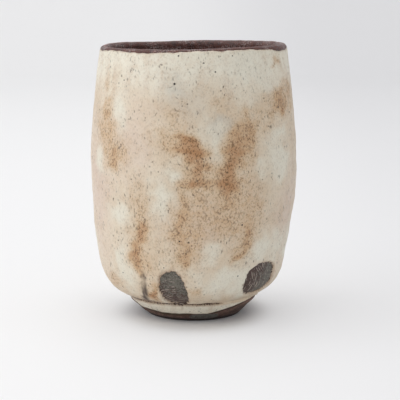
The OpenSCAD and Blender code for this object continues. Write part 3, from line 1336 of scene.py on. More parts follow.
@dataclass(frozen=True)
class CreamFinish(Finish):
    """Thick cream glaze with pale and rust patches, flecks, broken crazing and brown edges, painted shade on
    the corner over the ledge at the left, and painted light on the bevel under the ledge.

    Attributes:
        cream: Body of the glaze, in clouds with warm.
        warm: Its warmer clouds.
        top: Near the lip, and at the very foot as painted light that the table throws up onto the bevel under
            the ledge.
        pale: White patches.
        blush: Faint pink patches.
        smoke: Faint grey patches.
        iron: The largest iron spots.
        tan: Thin rust.
        rust: Thick rust.
        deep: Dark grains in the rust.
        fleck: Flecks and cracks.
        scar: The thin streak beside the first finger mark.
        edge: Thin glaze beside a bare place, and painted shade on the corner over the ledge at the left.
        bare: The very edge of a bare place.
    """

    name: str = "cream_glaze"
    cream: str = "D9CBB6"
    warm: str = "D0BDA4"
    top: str = "E1DBCB"
    pale: str = "DFDBCC"
    blush: str = "D1BDB0"
    smoke: str = "BFBAAF"
    iron: str = "241C18"
    tan: str = "C9AD8C"
    rust: str = "AD8057"
    deep: str = "6B4E30"
    fleck: str = "3F301E"
    scar: str = "54463C"
    edge: str = "8C6A52"
    bare: str = "3F2E23"

    def ground(self, nodes: Nodes, place: Socket) -> Socket:
        """The glaze's colour: cream in clouds, with the top, the blush and the smoke over it; at the foot the
        top is painted light from the table.

        Args:
            nodes: Where the nodes go.
            place: Object place in millimetres.

        Returns:
            The colour.
        """
        clouds = nodes.step(nodes.noise(place, 12.0, 3.0), 0.35, 0.7)
        return nodes.layered(
            nodes.mix(clouds, linear(self.cream), linear(self.warm)),
            (nodes.attribute("top"), self.top),
            (nodes.math("MULTIPLY", nodes.attribute("blush"), 0.9), self.blush),
            (nodes.attribute("smoke"), self.smoke),
        )

    def stained(self, nodes: Nodes, colour: Socket, pale: Socket, mottle: Socket, grain: Socket) -> Socket:
        """White patches and rust laid over the ground, where white holds the rust back.

        Args:
            nodes: Where the nodes go.
            colour: The ground.
            pale: Strength of the white patches.
            mottle: Clouds that stir the rust.
            grain: Fine clouds, for the dark grains in the rust.

        Returns:
            The colour.
        """
        held_back = nodes.math("SUBTRACT", 1.0, nodes.math("MULTIPLY", pale, 0.75))
        rust = nodes.math("MULTIPLY", nodes.stirred(nodes.attribute("rust"), mottle, 0.18), held_back)
        grains = nodes.math("MULTIPLY", nodes.step(grain, 0.5, 0.9), nodes.step(rust, -0.15, 0.9, 0.08, 0.85))
        return nodes.layered(
            colour,
            (nodes.step(pale, 0.0, 0.9), self.pale),
            (nodes.step(rust, -0.1, 0.6), self.tan),
            (nodes.step(rust, 0.35, 1.0), self.rust),
            (grains, self.deep),
        )

    @staticmethod
    def flecks(nodes: Nodes, effects: Effects, place: Socket, pale: Socket) -> Socket:
        """Mask of dashes, dots and broken cracks, stronger in clouds and smoke, weaker in white patches.

        Args:
            nodes: Where the nodes go.
            effects: The shared groups.
            place: Object place in millimetres.
            pale: Strength of the white patches.

        Returns:
            The mask.
        """
        upright = nodes.stretched(place, 1.4, 3.5, (1.0, 1.0, 0.36))
        dashes = effects.use(nodes, effects.specks, upright, spacing=0.95, radius=0.3, share=0.75)
        dots = effects.use(nodes, effects.specks, place, spacing=1.6, radius=0.44, share=0.3)
        leaning = nodes.stretched(place, 1.8, 3.0, (1.0, 1.0, 0.6))
        cracks = effects.use(nodes, effects.crazing, leaning, spacing=2.2, width=0.22, share=0.42)
        marks = nodes.math("MAXIMUM", dashes, dots)
        marks = nodes.math("MAXIMUM", marks, nodes.math("MULTIPLY", cracks, 0.75))
        crowd = nodes.step(nodes.noise(place, 9.0), 0.36, 0.62, 0.25, 1.0)
        crowd = nodes.math("MAXIMUM", crowd, nodes.attribute("smoke"))
        crowd = nodes.math("MULTIPLY", crowd, nodes.step(pale, 0.2, 1.0, 1.0, 0.6))
        return nodes.math("MULTIPLY", marks, crowd)

    @staticmethod
    def spots(nodes: Nodes, place: Socket, points: Array) -> Socket:
        """Mask of round spots: each by the distance from its middle, less than its radius.

        Args:
            nodes: Where the nodes go.
            place: Object place in millimetres.
            points: Middle and radius of each spot, in millimetres.

        Returns:
            The strongest of the spots.
        """
        mask = None
        for x, y, z, radius in points.tolist():
            away = nodes.put("ShaderNodeVectorMath", {0: place, 1: (x, y, z)}, operation="DISTANCE")
            spot = nodes.step(away.outputs["Value"], 0.55 * radius, radius, 1.0, 0.0)
            mask = spot if mask is None else nodes.math("MAXIMUM", mask, spot)
        return mask

    def edged(self, nodes: Nodes, colour: Socket, grain: Socket) -> Socket:
        """Thin brown glaze and a dark line beside bare places, by the mesh value of the distance from them,
        which also lays painted shade on the corner over the ledge at the left.

        Args:
            nodes: Where the nodes go.
            colour: The colour away from the edges.
            grain: Fine clouds that fray the edges.

        Returns:
            The colour.
        """
        away = nodes.stirred(nodes.attribute("bare_and_shade_away"), grain, 0.5)
        thin_glaze_and_shade = nodes.step(away, 0.0, 0.9, 0.5, 0.0)
        return nodes.layered(colour, (thin_glaze_and_shade, self.edge), (nodes.step(away, -0.15, 0.2, 1.0, 0.0), self.bare))

    def build(self, effects: Effects, spots: Array) -> bpy.types.Material:
        """Builds the material from mesh values for patches and edges, and fine marks by object place.

        Args:
            effects: The shared groups.
            spots: Middle and radius of each large iron spot, in millimetres.

        Returns:
            The material.
        """
        material, nodes, shader = self.start()
        place = nodes.millimetres()
        mottle = effects.use(nodes, effects.mottle, place, size=2.2, fine=0.8)
        warped = nodes.stretched(place, 0.6, 1.5, (1.0, 1.0, 0.75))
        grain = effects.use(nodes, effects.mottle, warped, size=0.6, fine=0.5)
        pale = nodes.attribute("pale")
        colour = self.stained(nodes, self.ground(nodes, place), pale, mottle, grain)
        flecks = self.flecks(nodes, effects, place, pale)
        colour = nodes.layered(
            colour,
            (nodes.math("MULTIPLY", flecks, 0.85), self.fleck),
            (nodes.attribute("scar"), self.scar),
            (self.spots(nodes, place, spots), self.iron),
        )
        nodes.link(self.edged(nodes, colour, grain), shader, "Base Color")
        nodes.link(nodes.math("MULTIPLY_ADD", mottle, 0.12, 0.4), shader, "Roughness")
        height = nodes.math("SUBTRACT", nodes.math("MULTIPLY", mottle, 0.3), flecks)
        height = nodes.math("ADD", height, nodes.math("MULTIPLY", grain, 0.12))
        self.bump(nodes, shader, height, 0.12)
        return material


@dataclass(frozen=True)
class IronFinish(Finish):
    """Thin dark iron glaze, speckled, lighter along the top of the lip by wear and a painted highlight, with
    specks crowded into a painted reflection inside.

    Attributes:
        dark: Darker clouds.
        brown: Lighter clouds.
        speck_and_sheen: Grey specks, which also crowd into a painted reflection on the inside.
        wear_and_highlight: The crest of the lip, lighter by wear and by a painted highlight.
    """

    name: str = "iron_glaze"
    dark: str = "351510"
    brown: str = "61362C"
    speck_and_sheen: str = "C0AEAB"
    wear_and_highlight: str = "A06C60"

    def build(self, effects: Effects) -> bpy.types.Material:
        """Builds the material: two browns in clouds, grey specks crowded into a painted reflection by a mesh
        value, and wear with a painted highlight by crest.

        Args:
            effects: The shared groups.

        Returns:
            The material.
        """
        material, nodes, shader = self.start()
        place = nodes.millimetres()
        mottle = effects.use(nodes, effects.mottle, place, size=1.6, fine=0.9)
        grain = effects.use(nodes, effects.mottle, place, size=0.5, fine=0.5)
        # Painted reflection: the grey specks crowd on the back of the inside, where the mesh value is high.
        painted_sheen = nodes.attribute("painted_sheen")
        patchy = nodes.math("MAXIMUM", nodes.step(nodes.noise(place, 6.0), 0.4, 0.65, 0.0, 0.6), painted_sheen)
        level = nodes.step(painted_sheen, 0.0, 1.0, 0.5, 0.32)
        specks = nodes.math("MULTIPLY", nodes.step(grain, level, 0.85), patchy)
        # Painted highlight, with real wear, along the top of the lip.
        crest = nodes.stirred(nodes.attribute("crest"), grain, 0.5)
        colour = nodes.layered(
            nodes.mix(mottle, linear(self.dark), linear(self.brown)),
            (nodes.math("MULTIPLY", specks, 0.85), self.speck_and_sheen),
            (nodes.step(crest, 0.35, 1.0, 0.0, 0.75), self.wear_and_highlight),
        )
        nodes.link(colour, shader, "Base Color")
        nodes.link(nodes.step(mottle, 0.0, 1.0, 0.3, 0.5), shader, "Roughness")
        self.bump(nodes, shader, nodes.math("ADD", nodes.math("MULTIPLY", mottle, 0.5), grain), 0.08)
        return material


@dataclass(frozen=True)
class ClayFinish(Finish):
    """Bare dark stoneware with turning lines, sand, painted shade under the cream's edge and a darker band of
    painted shade near the table.

    Attributes:
        dark: Darker clouds.
        brown: Lighter clouds.
        light: Turning lines and sand.
        black: The lowest band, on the table: painted shade where the foot meets it.
        edge: Painted shade on the clay just under the cream's overhanging edge.
        deep: Clay farther below the cream's edge.
    """

    name: str = "bare_stoneware"
    dark: str = "49342C"
    brown: str = "7A5D50"
    light: str = "A08272"
    black: str = "231714"
    edge: str = "3D2B1C"
    deep: str = "3B2A26"

    def build(self, effects: Effects) -> bpy.types.Material:
        """Builds the material: browns in clouds, bands that follow the wheel, grains of sand, and painted
        shade under the cream's edge and near the table.

        Args:
            effects: The shared groups.

        Returns:
            The material.
        """
        material, nodes, shader = self.start()
        place = nodes.millimetres()
        mottle = effects.use(nodes, effects.mottle, place, size=1.8, fine=0.8)
        bands = nodes.noise(nodes.stretched(place, 0.5, 5.0, (0.03, 0.03, 1.6)), 1.0, 3.0)
        sand = effects.use(nodes, effects.specks, place, spacing=1.3, radius=0.25, share=0.5)
        above = nodes.put("ShaderNodeSeparateXYZ", {"Vector": place}).outputs["Z"]
        below = nodes.attribute("below")
        colour = nodes.layered(
            nodes.mix(mottle, linear(self.dark), linear(self.brown)),
            (nodes.step(bands, 0.5, 0.75, 0.0, 0.6), self.light),
            (nodes.step(below, 1.7, 3.0, 0.0, 0.6), self.deep),
            # Painted shade where the foot meets the table.
            (nodes.step(above, 0.7, 1.7, 0.9, 0.0), self.black),
            # Painted shade under the overhanging edge of the cream glaze.
            (nodes.step(below, 0.2, 0.85, 0.9, 0.0), self.edge),
            (nodes.math("MULTIPLY", sand, 0.35), self.light),
        )
        nodes.link(colour, shader, "Base Color")
        shader.inputs["Roughness"].default_value = 0.72
        height = nodes.math("ADD", nodes.math("MULTIPLY", bands, 1.5), nodes.math("MULTIPLY", mottle, 0.6))
        self.bump(nodes, shader, nodes.math("ADD", height, nodes.math("MULTIPLY", sand, 0.7)), 0.16)
        return material


@dataclass(frozen=True)
class FilmFinish(Finish):
    """Thin grey glaze film over dark clay, with light streaks where a fingertip's ridges wiped it.

    Attributes:
        grey: The film's upper part.
        brown: Its lower part, where clay shows through.
        dark: Pits in it.
        streak: Streaks along the ridges.
        streaks: Strength of the streaks.
    """

    name: str = "glaze_film"
    grey: str = "6A665C"
    brown: str = "4A332B"
    dark: str = "2E231D"
    streak: str = "B3A598"
    streaks: float = 0.75

    def build(self, effects: Effects) -> bpy.types.Material:
        """Builds the material: grey above, brown below by the mesh value upper, and ridge streaks.

        Args:
            effects: The shared groups.

        Returns:
            The material.
        """
        material, nodes, shader = self.start()
        place = nodes.millimetres()
        mottle = effects.use(nodes, effects.mottle, place, size=1.4, fine=1.0)
        grain = effects.use(nodes, effects.mottle, place, size=0.6, fine=0.8)
        upper = nodes.stirred(nodes.attribute("upper"), mottle, 0.5)
        ridge = nodes.attribute("ridge")
        pits = nodes.math("SUBTRACT", grain, nodes.math("MULTIPLY", ridge, 0.25))
        broken = nodes.step(nodes.noise(place, 1.9), 0.45, 0.6)
        lines = nodes.math("MULTIPLY", nodes.step(ridge, 0.5, 0.85), broken)
        lines = nodes.math("MULTIPLY", lines, nodes.step(upper, 0.4, 0.75, 1.0, 0.3))
        colour = nodes.layered(
            nodes.mix(nodes.step(upper, 0.35, 0.65), linear(self.brown), linear(self.grey)),
            (nodes.step(pits, 0.42, 0.05, 0.0, 0.75), self.dark),
            (nodes.math("MULTIPLY", lines, self.streaks), self.streak),
        )
        nodes.link(colour, shader, "Base Color")
        shader.inputs["Roughness"].default_value = 0.45
        self.bump(nodes, shader, nodes.math("ADD", grain, nodes.math("MULTIPLY", lines, 0.8)), 0.09)
        return material


@dataclass
class ClayBody:
    """The thrown wall and turned foot.

    Attributes:
        kiln: The shared surfaces.
        places: Points round each ring.
        ruts: Fine lines of the turning tool on the foot, as noise over height and a share of the radius.
        rut_r_share: That share.
        coat_over: How much higher on the skin a place of the clay is read, to match it with the skin's.
        line_span: Heights between which the turned line can cut the clay.
    """

    kiln: Kiln
    places: int = 320
    ruts: Ripples = Ripples(21, 1.1, 0.05)
    rut_r_share: float = 0.3
    coat_over: float = 0.35
    line_span: tuple[float, float] = (1.0, 30.0)

    def build(self) -> bpy.types.Object:
        """The whole clay body: the clay's outline carried round the axis and shaped by the hand.

        Returns:
            The object, with the depth below the cream's edge as the mesh value below.
        """
        kiln, clay, form = self.kiln, self.kiln.clay, self.kiln.form
        edge = clay.rising_to(form.bare_h)
        over_ledge = clay.rising_to(form.ledge_z + 2.0)
        lip = clay.rising_to(form.height)
        pole, floor = 0.6, clay.total - 1.5
        lengths = spaced(((edge, 70), (over_ledge, 34), (lip - 1.0, 110), (lip + 5.0, 10), (floor, 80)), pole)
        length = lengths[:, None]
        azimuth = round_ring(self.places)
        dip = -kiln.groove(azimuth, self.skin_length(length))
        flat = np.zeros_like(lengths)
        rut_place = clay.at(lengths) @ [self.rut_r_share, 1.0]
        ruts = self.ruts.at(np.stack([flat, flat, rut_place], axis=-1))
        ruts = (ruts * smooth(lengths, 2.0, 4.0) * smooth(edge + 1.0 - lengths, 0.0, 1.0))[:, None]
        grid = kiln.on_clay(azimuth, length, dip + ruts)
        below = kiln.cream_low(azimuth) - clay.at(length)[..., 1]
        below = np.where(length > kiln.foot_span[0], below, FAR)
        return build_mesh("clay_wall_and_foot", grid, True, {"below": np.clip(below, -1.0, FAR)})

    def skin_length(self, length: Array) -> Array:
        """The place on the skin's outline over a place on the clay's, by height, on the outside only.

        Args:
            length: Lengths along the clay's outline.

        Returns:
            Lengths along the skin's outline. Inside the cup it is the skin's end, where no line is cut.
        """
        clay, skin = self.kiln.clay, self.kiln.skin
        z = clay.at(length)[..., 1]
        top = int(np.argmax(skin.points[:, 1]))
        over = np.interp(z + self.coat_over, skin.points[:top, 1], skin.lengths[:top])
        low, high = (clay.rising_to(z) for z in self.line_span)
        return np.where((length > low) & (length < high), over, skin.total)


@dataclass
class CreamCoat:
    """The cream glaze: a shell whose outer side dips under the clay wherever the glaze is off.

    Attributes:
        kiln: The shared surfaces.
        places: Points round each ring.
        buried: How far its inner side lies inside the clay, in millimetres.
        dipped: How far its outer side lies inside the clay at bare places.
        rounding: Distance over which it is rounded off beside a bare place.
        roll: Height of the low roll just inside each edge.
        roll_in: Distance of the roll's top from the bare place.
        roll_half: Half width of the roll.
        roll_z: Height under which edges have that roll.
        scar: The thin streak beside the first finger mark.
    """

    kiln: Kiln
    places: int = 400
    buried: float = 0.35
    dipped: float = 0.2
    rounding: float = 0.8
    roll: float = 0.12
    roll_in: float = 0.9
    roll_half: float = 0.5
    roll_z: float = 30.0
    scar: Scar = Scar()

    def heights(self, azimuth: Array, length: Array, away: Array) -> Array:
        """Height over the clay: the coat's thickness, rounded off by a quarter circle beside a bare place.

        A low roll stands just inside each edge, and slow ripples of thickness run over the wall.

        Args:
            azimuth: Degrees from the front.
            length: Lengths along the skin's outline.
            away: Distance from the nearest bare place.

        Returns:
            The height, in millimetres.
        """
        kiln = self.kiln
        z = kiln.skin.at(length)[..., 1]
        spot = noise_spot(azimuth, z)
        full = kiln.form.coat(kiln.skin, length) + kiln.groove(azimuth, length)
        full = full + Ripples(71, 9.0, 0.05).at(spot) + Ripples(72, 3.5, 0.035).at(spot)
        share = np.clip(away / self.rounding, 0.0, 1.0)
        edge = np.sqrt(1.0 - (1.0 - share) ** 2)
        roll = self.roll * np.exp(-(((away - self.roll_in) / self.roll_half) ** 2)) * (z < self.roll_z)
        return np.where(away > 0.0, full * edge + roll, -self.dipped * smooth(-away, 0.0, 0.5))

    def thin_glaze_and_shade(self, azimuth: Array, length: Array) -> Array:
        """Where the glaze is brown on the corner over the ledge, at the left: partly glaze that thinned
        there, partly painted shade under the belly along the cup's lower outline.

        It is a low band, and within it a higher one whose ends draw in as it rises.

        Args:
            azimuth: Degrees from the front.
            length: Lengths along the skin's outline.

        Returns:
            A share from 0 to 1.
        """
        low_top, high_top = (3.4, 2.0), (8.5, 6.5)
        half_turn, drawn_in = 24.0, 2.6
        away = length - self.kiln.ledge_s
        low_band = Arc(-70.0, full=36.0, gone=58.0).at(azimuth) * smooth(away, *low_top)
        # The higher band follows the cup's lower outline seen from the front, as painted shade under the
        # belly.
        reach = half_turn - drawn_in * away
        high_band = Arc(-80.0, full=reach - 1.5, gone=reach + 2.5).at(azimuth) * smooth(away, *high_top)
        return smooth(away, -0.4, 0.2) * np.maximum(low_band, high_band)

    def values(self, azimuth: Array, z: Array, away: Array, thin_glaze_and_shade: Array) -> dict[str, Array]:
        """The mesh values that the finish reads.

        Args:
            azimuth: Degrees from the front.
            z: Heights, in millimetres.
            away: Distance from the nearest bare place.
            thin_glaze_and_shade: Where the glaze thinned, and where shade is painted on the corner.

        Returns:
            Each value by its name.
        """
        # The corner's thinned glaze and painted shade hold the distance from a bare place low, so that the
        # brown of an edge lies there.
        thin_glaze_and_shade_away, foot_away, read_span = 0.12, 0.3, (-1.0, 1.3)
        foot_edge, foot_top, lip_top = (6.6, 5.8), (7.2, 6.4), (76.0, 90.0)
        from_bare = np.clip(away - foot_away * smooth(z, *foot_edge), *read_span)
        wavy_z = z + Ripples(67, 16.0, 2.0).at(noise_spot(azimuth, z))
        values = {
            "bare_and_shade_away": from_bare * (1.0 - thin_glaze_and_shade) + thin_glaze_and_shade_away * thin_glaze_and_shade,
            "scar": self.scar.at(azimuth, z),
            # At the foot, top is painted light that the table throws up onto the bevel under the ledge.
            "top": smooth(wavy_z, *lip_top) + smooth(z, *foot_top),
        }
        for tint, share in patch_fields(azimuth, z).items():
            values[tint.value] = share
        return values

    def build(self) -> bpy.types.Object:
        """The shell: outer rings up from the lower edge, then inner rings back down inside the clay.

        Returns:
            The object, with the values of the finish on its outer side.
        """
        kiln = self.kiln
        ledge, lip_end = kiln.ledge_s, kiln.lip_s + 2.2
        below, above, shoulder = ledge - 1.3, ledge + 1.0, ledge + 22.0
        neck = kiln.lip_s - 2.5
        outer = spaced(((below, 16), (above, 16), (shoulder, 56), (neck, 94), (lip_end, 18)), 0.0)[:, None]
        inner = spaced(((ledge, 6), (lip_end, 20)), 0.0)[::-1, None]
        azimuth = round_ring(self.places)
        away = kiln.bare_distance(azimuth, outer)
        front = kiln.over_clay(azimuth, outer, self.heights(azimuth, outer, away))
        back = kiln.over_clay(azimuth, inner, np.full_like(inner, -self.buried))
        values = self.values(azimuth, kiln.skin.at(outer)[..., 1], away, self.thin_glaze_and_shade(azimuth, outer))
        blank = np.zeros((len(inner), self.places))
        values = {key: np.concatenate([value, blank]) for key, value in values.items()}
        return build_mesh("cream_coat", np.concatenate([front, back]), False, values)


@dataclass
class IronCoat:
    """The dark glaze over the lip, down the inside and across the floor.

    Attributes:
        kiln: The shared surfaces.
        places: Points round each ring.
        buried: How far its inner side lies inside the clay, in millimetres.
        dipped: How far its outer side lies inside the clay under the cream.
        painted_sheens: Where light specks crowd on the inside, seen over the lip, as a painted reflection.
        kept: Where the lip shows least wear and least painted highlight, at its right end.
    """

    kiln: Kiln
    places: int = 320
    buried: float = 0.3
    dipped: float = 0.06
    painted_sheens: tuple[Bell, ...] = (Bell(-156.0, 17.0, 0.9), Bell(151.0, 11.0))
    kept: Bell = Bell(64.0, 18.0, 0.7)

    def build(self) -> bpy.types.Object:
        """The lining: from under the cream's edge over the lip to the floor, and back inside the clay.

        Returns:
            The object, with the wear and painted highlight of the lip as the mesh value crest, and the light
            specks of a painted reflection as a mesh value of their own.
        """
        kiln = self.kiln
        skin, lip = kiln.skin, kiln.lip_s
        crest = skin.rising_to(kiln.form.height)
        floor = skin.total - 1.2
        bend = floor - 38.0
        start = lip - 2.6
        outer = spaced(((lip - 1.0, 6), (lip + 6.0, 44), (bend, 100), (floor, 42)), start)[:, None]
        behind = spaced(((bend, 14), (lip, 30), (start, 4)), floor)[:, None]
        azimuth = round_ring(self.places)
        spot = noise_spot(azimuth, skin.at(outer)[..., 1])
        under_end, under_span = lip + 2.2, (-0.1, 0.5)
        under = np.where(outer < under_end, smooth(kiln.bare_distance(azimuth, outer), *under_span), 0.0)
        height = kiln.form.iron_t * (1.0 - under) - self.dipped * under + Ripples(81, 4.0, 0.03).at(spot)
        front = kiln.over_clay(azimuth, outer, height)
        back = kiln.over_clay(azimuth, behind, np.full_like(behind, -self.buried))
        # Painted highlight, with real wear: a band just past the crest of the lip, faded at its right end.
        wear_and_highlight_off, wear_and_highlight_half = 0.1, 0.4
        wear_and_highlight = np.exp(-(((outer - crest - wear_and_highlight_off) / wear_and_highlight_half) ** 2))
        wear_and_highlight = wear_and_highlight * np.clip(1.0 + Ripples(82, 12.0, 0.25).at(spot), 0.0, 1.0)
        wear_and_highlight = wear_and_highlight * (1.0 - self.kept.at(azimuth))
        # Painted reflection: light specks crowd on the back of the inside, in two places round the cup.
        painted_sheen_in, painted_sheen_out = (2.0, 4.0), (40.0, 20.0)
        inside = smooth(outer - crest, *painted_sheen_in) * smooth(outer - crest, *painted_sheen_out)
        painted_sheen = sum(bell.at(azimuth) for bell in self.painted_sheens) * inside
        painted_sheen = np.clip(painted_sheen * (1.0 + Ripples(83, 5.0, 0.3).at(spot)), 0.0, 1.0)
        blank = np.zeros((len(behind), self.places))
        values = {"crest": np.concatenate([blank, wear_and_highlight]), "painted_sheen": np.concatenate([blank, painted_sheen])}
        return build_mesh("iron_lining", np.concatenate([back, front]), True, values)


@dataclass
class Films:
    """Lens-shaped films of glaze laid thinly on the clay: in the finger marks and on the foot.

    Attributes:
        kiln: The shared surfaces.
        film_t: Thickness in the middle, in millimetres.
        buried: Depth of the underside in the clay.
        rays: Points round each ring of a film.
        rings: Rings from a film's edge to its top's middle.
        under_rings: Rings from its underside's middle to its edge.
        margin: How far it runs under the cream round it.
        ridge_pitch: Distance between two ridges of a fingertip's skin.
        ridge_h: Height of those ridges.
    """

    kiln: Kiln
    film_t: float = 0.2
    buried: float = 0.25
    rays: int = 140
    rings: int = 40
    under_rings: int = 8
    margin: float = 0.5
    ridge_pitch: float = 1.05
    ridge_h: float = 0.05

    def lens(self, mark: FingerMark, ridges: bool) -> tuple[Array, dict[str, Array]]:
        """Rings of one film, from the middle of its underside out to its edge and in to its top's middle.

        Each ring is the mark's superellipse times a share. The top bulges by one less a power of the share,
        and the underside by the root of one less its square.

        Args:
            mark: Its outline on the unrolled wall.
            ridges: True lays fine arcs on it as a fingertip's skin does.

        Returns:
            The grid of points and the values on it.
        """
        pole_under, pole_over = 0.04, 0.02
        bow, slant, tuck = 0.05, 0.35, 0.02
        share_under = np.linspace(pole_under, 1.0, self.under_rings)
        share_over = np.linspace(1.0, pole_over, self.rings)
        share = np.concatenate([share_under, share_over])[:, None]
        on_top = (np.arange(len(share)) >= self.under_rings)[:, None]
        turn = np.linspace(0.0, math.tau, self.rays, endpoint=False)[None, :]
        bend = np.abs(np.cos(turn)) ** mark.power + np.abs(np.sin(turn)) ** mark.power
        bend = bend ** (-1.0 / mark.power)
        along = share * bend * np.sin(turn) * (mark.long / 2 + self.margin)
        across = share * bend * np.cos(turn) * (mark.half_width(along) + self.margin)
        right, up = mark.placed(across, along)
        clay = self.kiln.clay
        length = clay.rising_to(mark.z) + up
        place = clay.at(length)
        azimuth = mark.turn + np.degrees(right / place[..., 0])
        spot = noise_spot(azimuth, place[..., 1])
        bowed = along + bow * across**2 + Ripples(91, 4.0, 0.35).at(spot)
        ridge = (0.5 + 0.5 * np.sin(math.tau * bowed / self.ridge_pitch)) * ridges
        over = self.film_t * (1.0 - share**6) * (1.0 + Ripples(92, 2.2, 0.12).at(spot))
        over = over + self.ridge_h * ridge * (1.0 - share**4)
        under = -self.buried * np.sqrt(np.clip(1.0 - share**2, 0.0, 1.0)) - tuck
        grid = self.kiln.on_clay(azimuth, length, np.where(on_top, over, under))
        upper = np.clip(0.5 + along / mark.long + slant * across / mark.wide, 0.0, 1.0)
        return grid, {"upper": upper, "ridge": ridge}

    def build_marks(self) -> bpy.types.Object:
        """The five films in the finger marks, joined in one mesh.

        Returns:
            The object.
        """
        pieces = []
        for index, mark in enumerate(FINGER_MARKS):
            grid, values = self.lens(mark, True)
            pieces.append(build_mesh(f"mark_film_{index + 1}", grid, True, values))
        return join("mark_films", pieces)

    def build_smear(self) -> bpy.types.Object:
        """The smear on the front of the bare foot.

        Returns:
            The object.
        """
        smear = FingerMark(turn=11.5, z=2.2, wide=10.4, long=3.6, lean=0.0, taper=0.0, power=3.0)
        film = Films(self.kiln, film_t=0.12, buried=0.2, rays=120, rings=20, margin=0.0)
        grid, values = film.lens(smear, False)
        return build_mesh("smear_film", grid, True, values)


def join(name: str, pieces: list[bpy.types.Object]) -> bpy.types.Object:
    """One object from several meshes.

    Args:
        name: Name of the result.
        pieces: Objects at the origin, which are used up.

    Returns:
        The joined object.
    """
    chosen = {"selected_objects": pieces, "selected_editable_objects": pieces}
    with bpy.context.temp_override(active_object=pieces[0], object=pieces[0], **chosen):
        bpy.ops.object.join()
    pieces[0].name = name
    pieces[0].data.name = name
    return pieces[0]


@dataclass
class TeaCup:
    """The whole cup: builds its pieces, dresses them and ties them to the solids.

    Attributes:
        kiln: The shared surfaces.
        effects: The shared shader groups.
    """

    kiln: Kiln
    effects: Effects = field(default_factory=Effects)

    def assemble(self) -> None:
        """Builds every piece and reports it."""
        cream = CreamFinish().build(self.effects, self.kiln.iron_spots())
        iron = IronFinish().build(self.effects)
        clay = ClayFinish().build(self.effects)
        film = FilmFinish().build(self.effects)
        smear = FilmFinish("foot_film", grey="5E5C56", brown="4E4640", dark="38302B", streaks=0.0)
        smear = smear.build(self.effects)
        films = Films(self.kiln)
        self.finish(ClayBody(self.kiln).build(), clay, "clay_body", "raw_stoneware")
        self.finish(CreamCoat(self.kiln).build(), cream, "cream_glaze", "cream_coat")
        self.finish(IronCoat(self.kiln).build(), iron, "iron_glaze", "iron_coat")
        self.finish(films.build_marks(), film, "finger_films", "grey_film")
        self.finish(films.build_smear(), smear, "foot_smear", "grey_film")

    @staticmethod
    def finish(piece: bpy.types.Object, material: bpy.types.Material, node: str, slot: str) -> None:
        """Dresses a piece, lets it stand for a solid and reports it.

        Args:
            piece: The piece.
            material: Its finish.
            node: Name of the solid that it stands for.
            slot: Not used.
        """
        piece.data.materials.clear()
        piece.data.materials.append(material)
        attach(piece, "root")
        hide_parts(node)
        LOG.info("%s: %d faces, stands for %s", piece.name, len(piece.data.polygons), node)


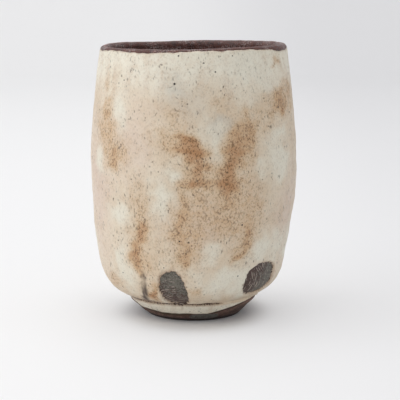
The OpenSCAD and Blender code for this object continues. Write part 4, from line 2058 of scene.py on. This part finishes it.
@dataclass(frozen=True)
class Studio:
    """A pale sweep, soft light from the upper left and the camera of the photograph.

    Attributes:
        distance: From the cup's axis to the camera, in metres.
        height: Of the camera over the table, in metres.
        pitch: Degrees that the camera looks down.
        yaw: Degrees that it looks to the right of the axis.
        lens: Focal length, in millimetres.
        sensor: Width of the film behind the lens, in millimetres.
        paper: Colour of the sweep at the left.
        dim: Colour of the sweep at the right, as painted shade away from the left light.
        dim_span: Places from left to right between which the painted shade on the sweep sets in, in
            millimetres.
        own: Share of its own tone that the sweep shows to the camera away from the foot, as a painted glow
            that lifts its shadows there.
        foot_span: Distances from the axis between which that share sets in, in millimetres.
        shadow_y: Factor on the way to and from the camera, so that the kept shadow reaches farther there.
        sky: Strength of the even light from all round.
    """

    distance: float = 0.4912
    height: float = 0.1207
    pitch: float = 9.29
    yaw: float = 0.275
    lens: float = 124.67
    sensor: float = 36.0
    paper: str = "F0F0F1"
    dim: str = "E3E3E5"
    dim_span: tuple[float, float] = (-60.0, 160.0)
    own: float = 0.45
    foot_span: tuple[float, float] = (17.5, 30.0)
    shadow_y: float = 0.72
    sky: float = 0.66

    def build(self) -> None:
        """Builds the sweep, the lamps, the world and the camera."""
        self.sweep()
        self.lamp("left_light", (-1.0, -0.3, 0.55), size=1.4, power=6.0)
        self.lamp("top_light", (-0.1, 0.15, 1.3), size=1.1, power=7.0)
        self.world()
        self.camera()
        bpy.context.scene.view_settings.view_transform = "Standard"

    def sweep(self) -> None:
        """The floor, which curves up by a quarter circle far behind the cup."""
        depth, width, bend = 1.6, 2.4, 0.5
        turn = np.linspace(0.0, math.pi / 2, 24)
        y = np.concatenate([[-depth], depth - bend + bend * np.sin(turn), [depth]])
        z = np.concatenate([[0.0], bend - bend * np.cos(turn), [depth]])
        points = [(x, float(b), float(c)) for b, c in zip(y, z) for x in (-width, width)]
        faces = [(2 * i, 2 * i + 1, 2 * i + 3, 2 * i + 2) for i in range(len(y) - 1)]
        mesh = bpy.data.meshes.new("sweep")
        mesh.from_pydata(points, [], faces)
        mesh.polygons.foreach_set("use_smooth", [True] * len(faces))
        floor = bpy.data.objects.new("sweep", mesh)
        bpy.context.scene.collection.objects.link(floor)
        material = bpy.data.materials.new("paper")
        material.use_nodes = True
        self.dress(material)
        mesh.materials.append(material)

    def dress(self, material: bpy.types.Material) -> None:
        """Paper with painted shade that darkens it to the right, and a painted glow of its own tone, seen
        only by the camera, that lifts its shadows away from the foot.

        Args:
            material: A new material, which gets its nodes.
        """
        nodes = Nodes(material.node_tree)
        shader = material.node_tree.nodes["Principled BSDF"]
        shader.inputs["Roughness"].default_value = 0.8
        place = nodes.put("ShaderNodeSeparateXYZ", {"Vector": nodes.millimetres()})
        # Painted shade: the sweep darkens to the right, away from the left light.
        to_right = nodes.step(place.outputs["X"], *self.dim_span)
        tone = nodes.mix(to_right, linear(self.paper), linear(self.dim))
        nodes.link(tone, shader, "Base Color")
        near_y = nodes.math("MULTIPLY", place.outputs["Y"], self.shadow_y)
        flat = nodes.put("ShaderNodeCombineXYZ", {"X": place.outputs["X"], "Y": near_y})
        away = nodes.put("ShaderNodeVectorMath", {0: flat.outputs[0]}, operation="LENGTH").outputs["Value"]
        # Painted light: the sweep glows to the camera away from the foot, lifting its shadows there and
        # keeping the shadow at the foot.
        seen = nodes.put("ShaderNodeLightPath").outputs["Is Camera Ray"]
        share = nodes.math("MULTIPLY", seen, nodes.step(away, *self.foot_span, 0.0, self.own))
        glow = nodes.put("ShaderNodeEmission", {"Color": tone, "Strength": 1.0})
        both = nodes.put("ShaderNodeMixShader", {0: share, 1: shader.outputs[0], 2: glow.outputs[0]})
        nodes.link(both.outputs[0], material.node_tree.nodes["Material Output"], "Surface")

    @staticmethod
    def lamp(name: str, place: Triple, size: float, power: float) -> None:
        """A square area lamp that faces the cup's middle.

        Args:
            name: Name of the lamp.
            place: Where it hangs, in metres.
            size: Length of its side, in metres.
            power: In watts.
        """
        middle = (0.0, 0.0, 0.05)
        data = bpy.data.lights.new(name, "AREA")
        data.size = size
        data.energy = power
        lamp = bpy.data.objects.new(name, data)
        lamp.location = place
        aim = np.array(middle) - np.array(place)
        across = math.hypot(aim[0], aim[1])
        lamp.rotation_euler = (math.atan2(across, -aim[2]), 0.0, math.atan2(-aim[0], aim[1]))
        bpy.context.scene.collection.objects.link(lamp)

    def world(self) -> None:
        """Even white light from all round."""
        world = bpy.data.worlds.new("studio")
        world.use_nodes = True
        background = world.node_tree.nodes["Background"]
        background.inputs["Color"].default_value = (1.0, 1.0, 1.0, 1.0)
        background.inputs["Strength"].default_value = self.sky
        bpy.context.scene.world = world

    def camera(self) -> None:
        """The camera, level across, aimed by its pitch and yaw."""
        data = bpy.data.cameras.new("camera")
        data.lens = self.lens
        data.sensor_width = self.sensor
        camera = bpy.data.objects.new("camera", data)
        camera.location = (0.0, -self.distance, self.height)
        camera.rotation_euler = (math.radians(90.0 - self.pitch), 0.0, math.radians(-self.yaw))
        bpy.context.scene.collection.objects.link(camera)
        bpy.context.scene.camera = camera


def main() -> None:
    """Builds the studio and the cup."""
    logging.basicConfig(level=logging.INFO, format="%(name)s %(message)s")
    Studio().build()
    TeaCup(Kiln(CupForm.from_frame(), Hand(), Edges())).assemble()


if __name__ == "__main__":
    main()
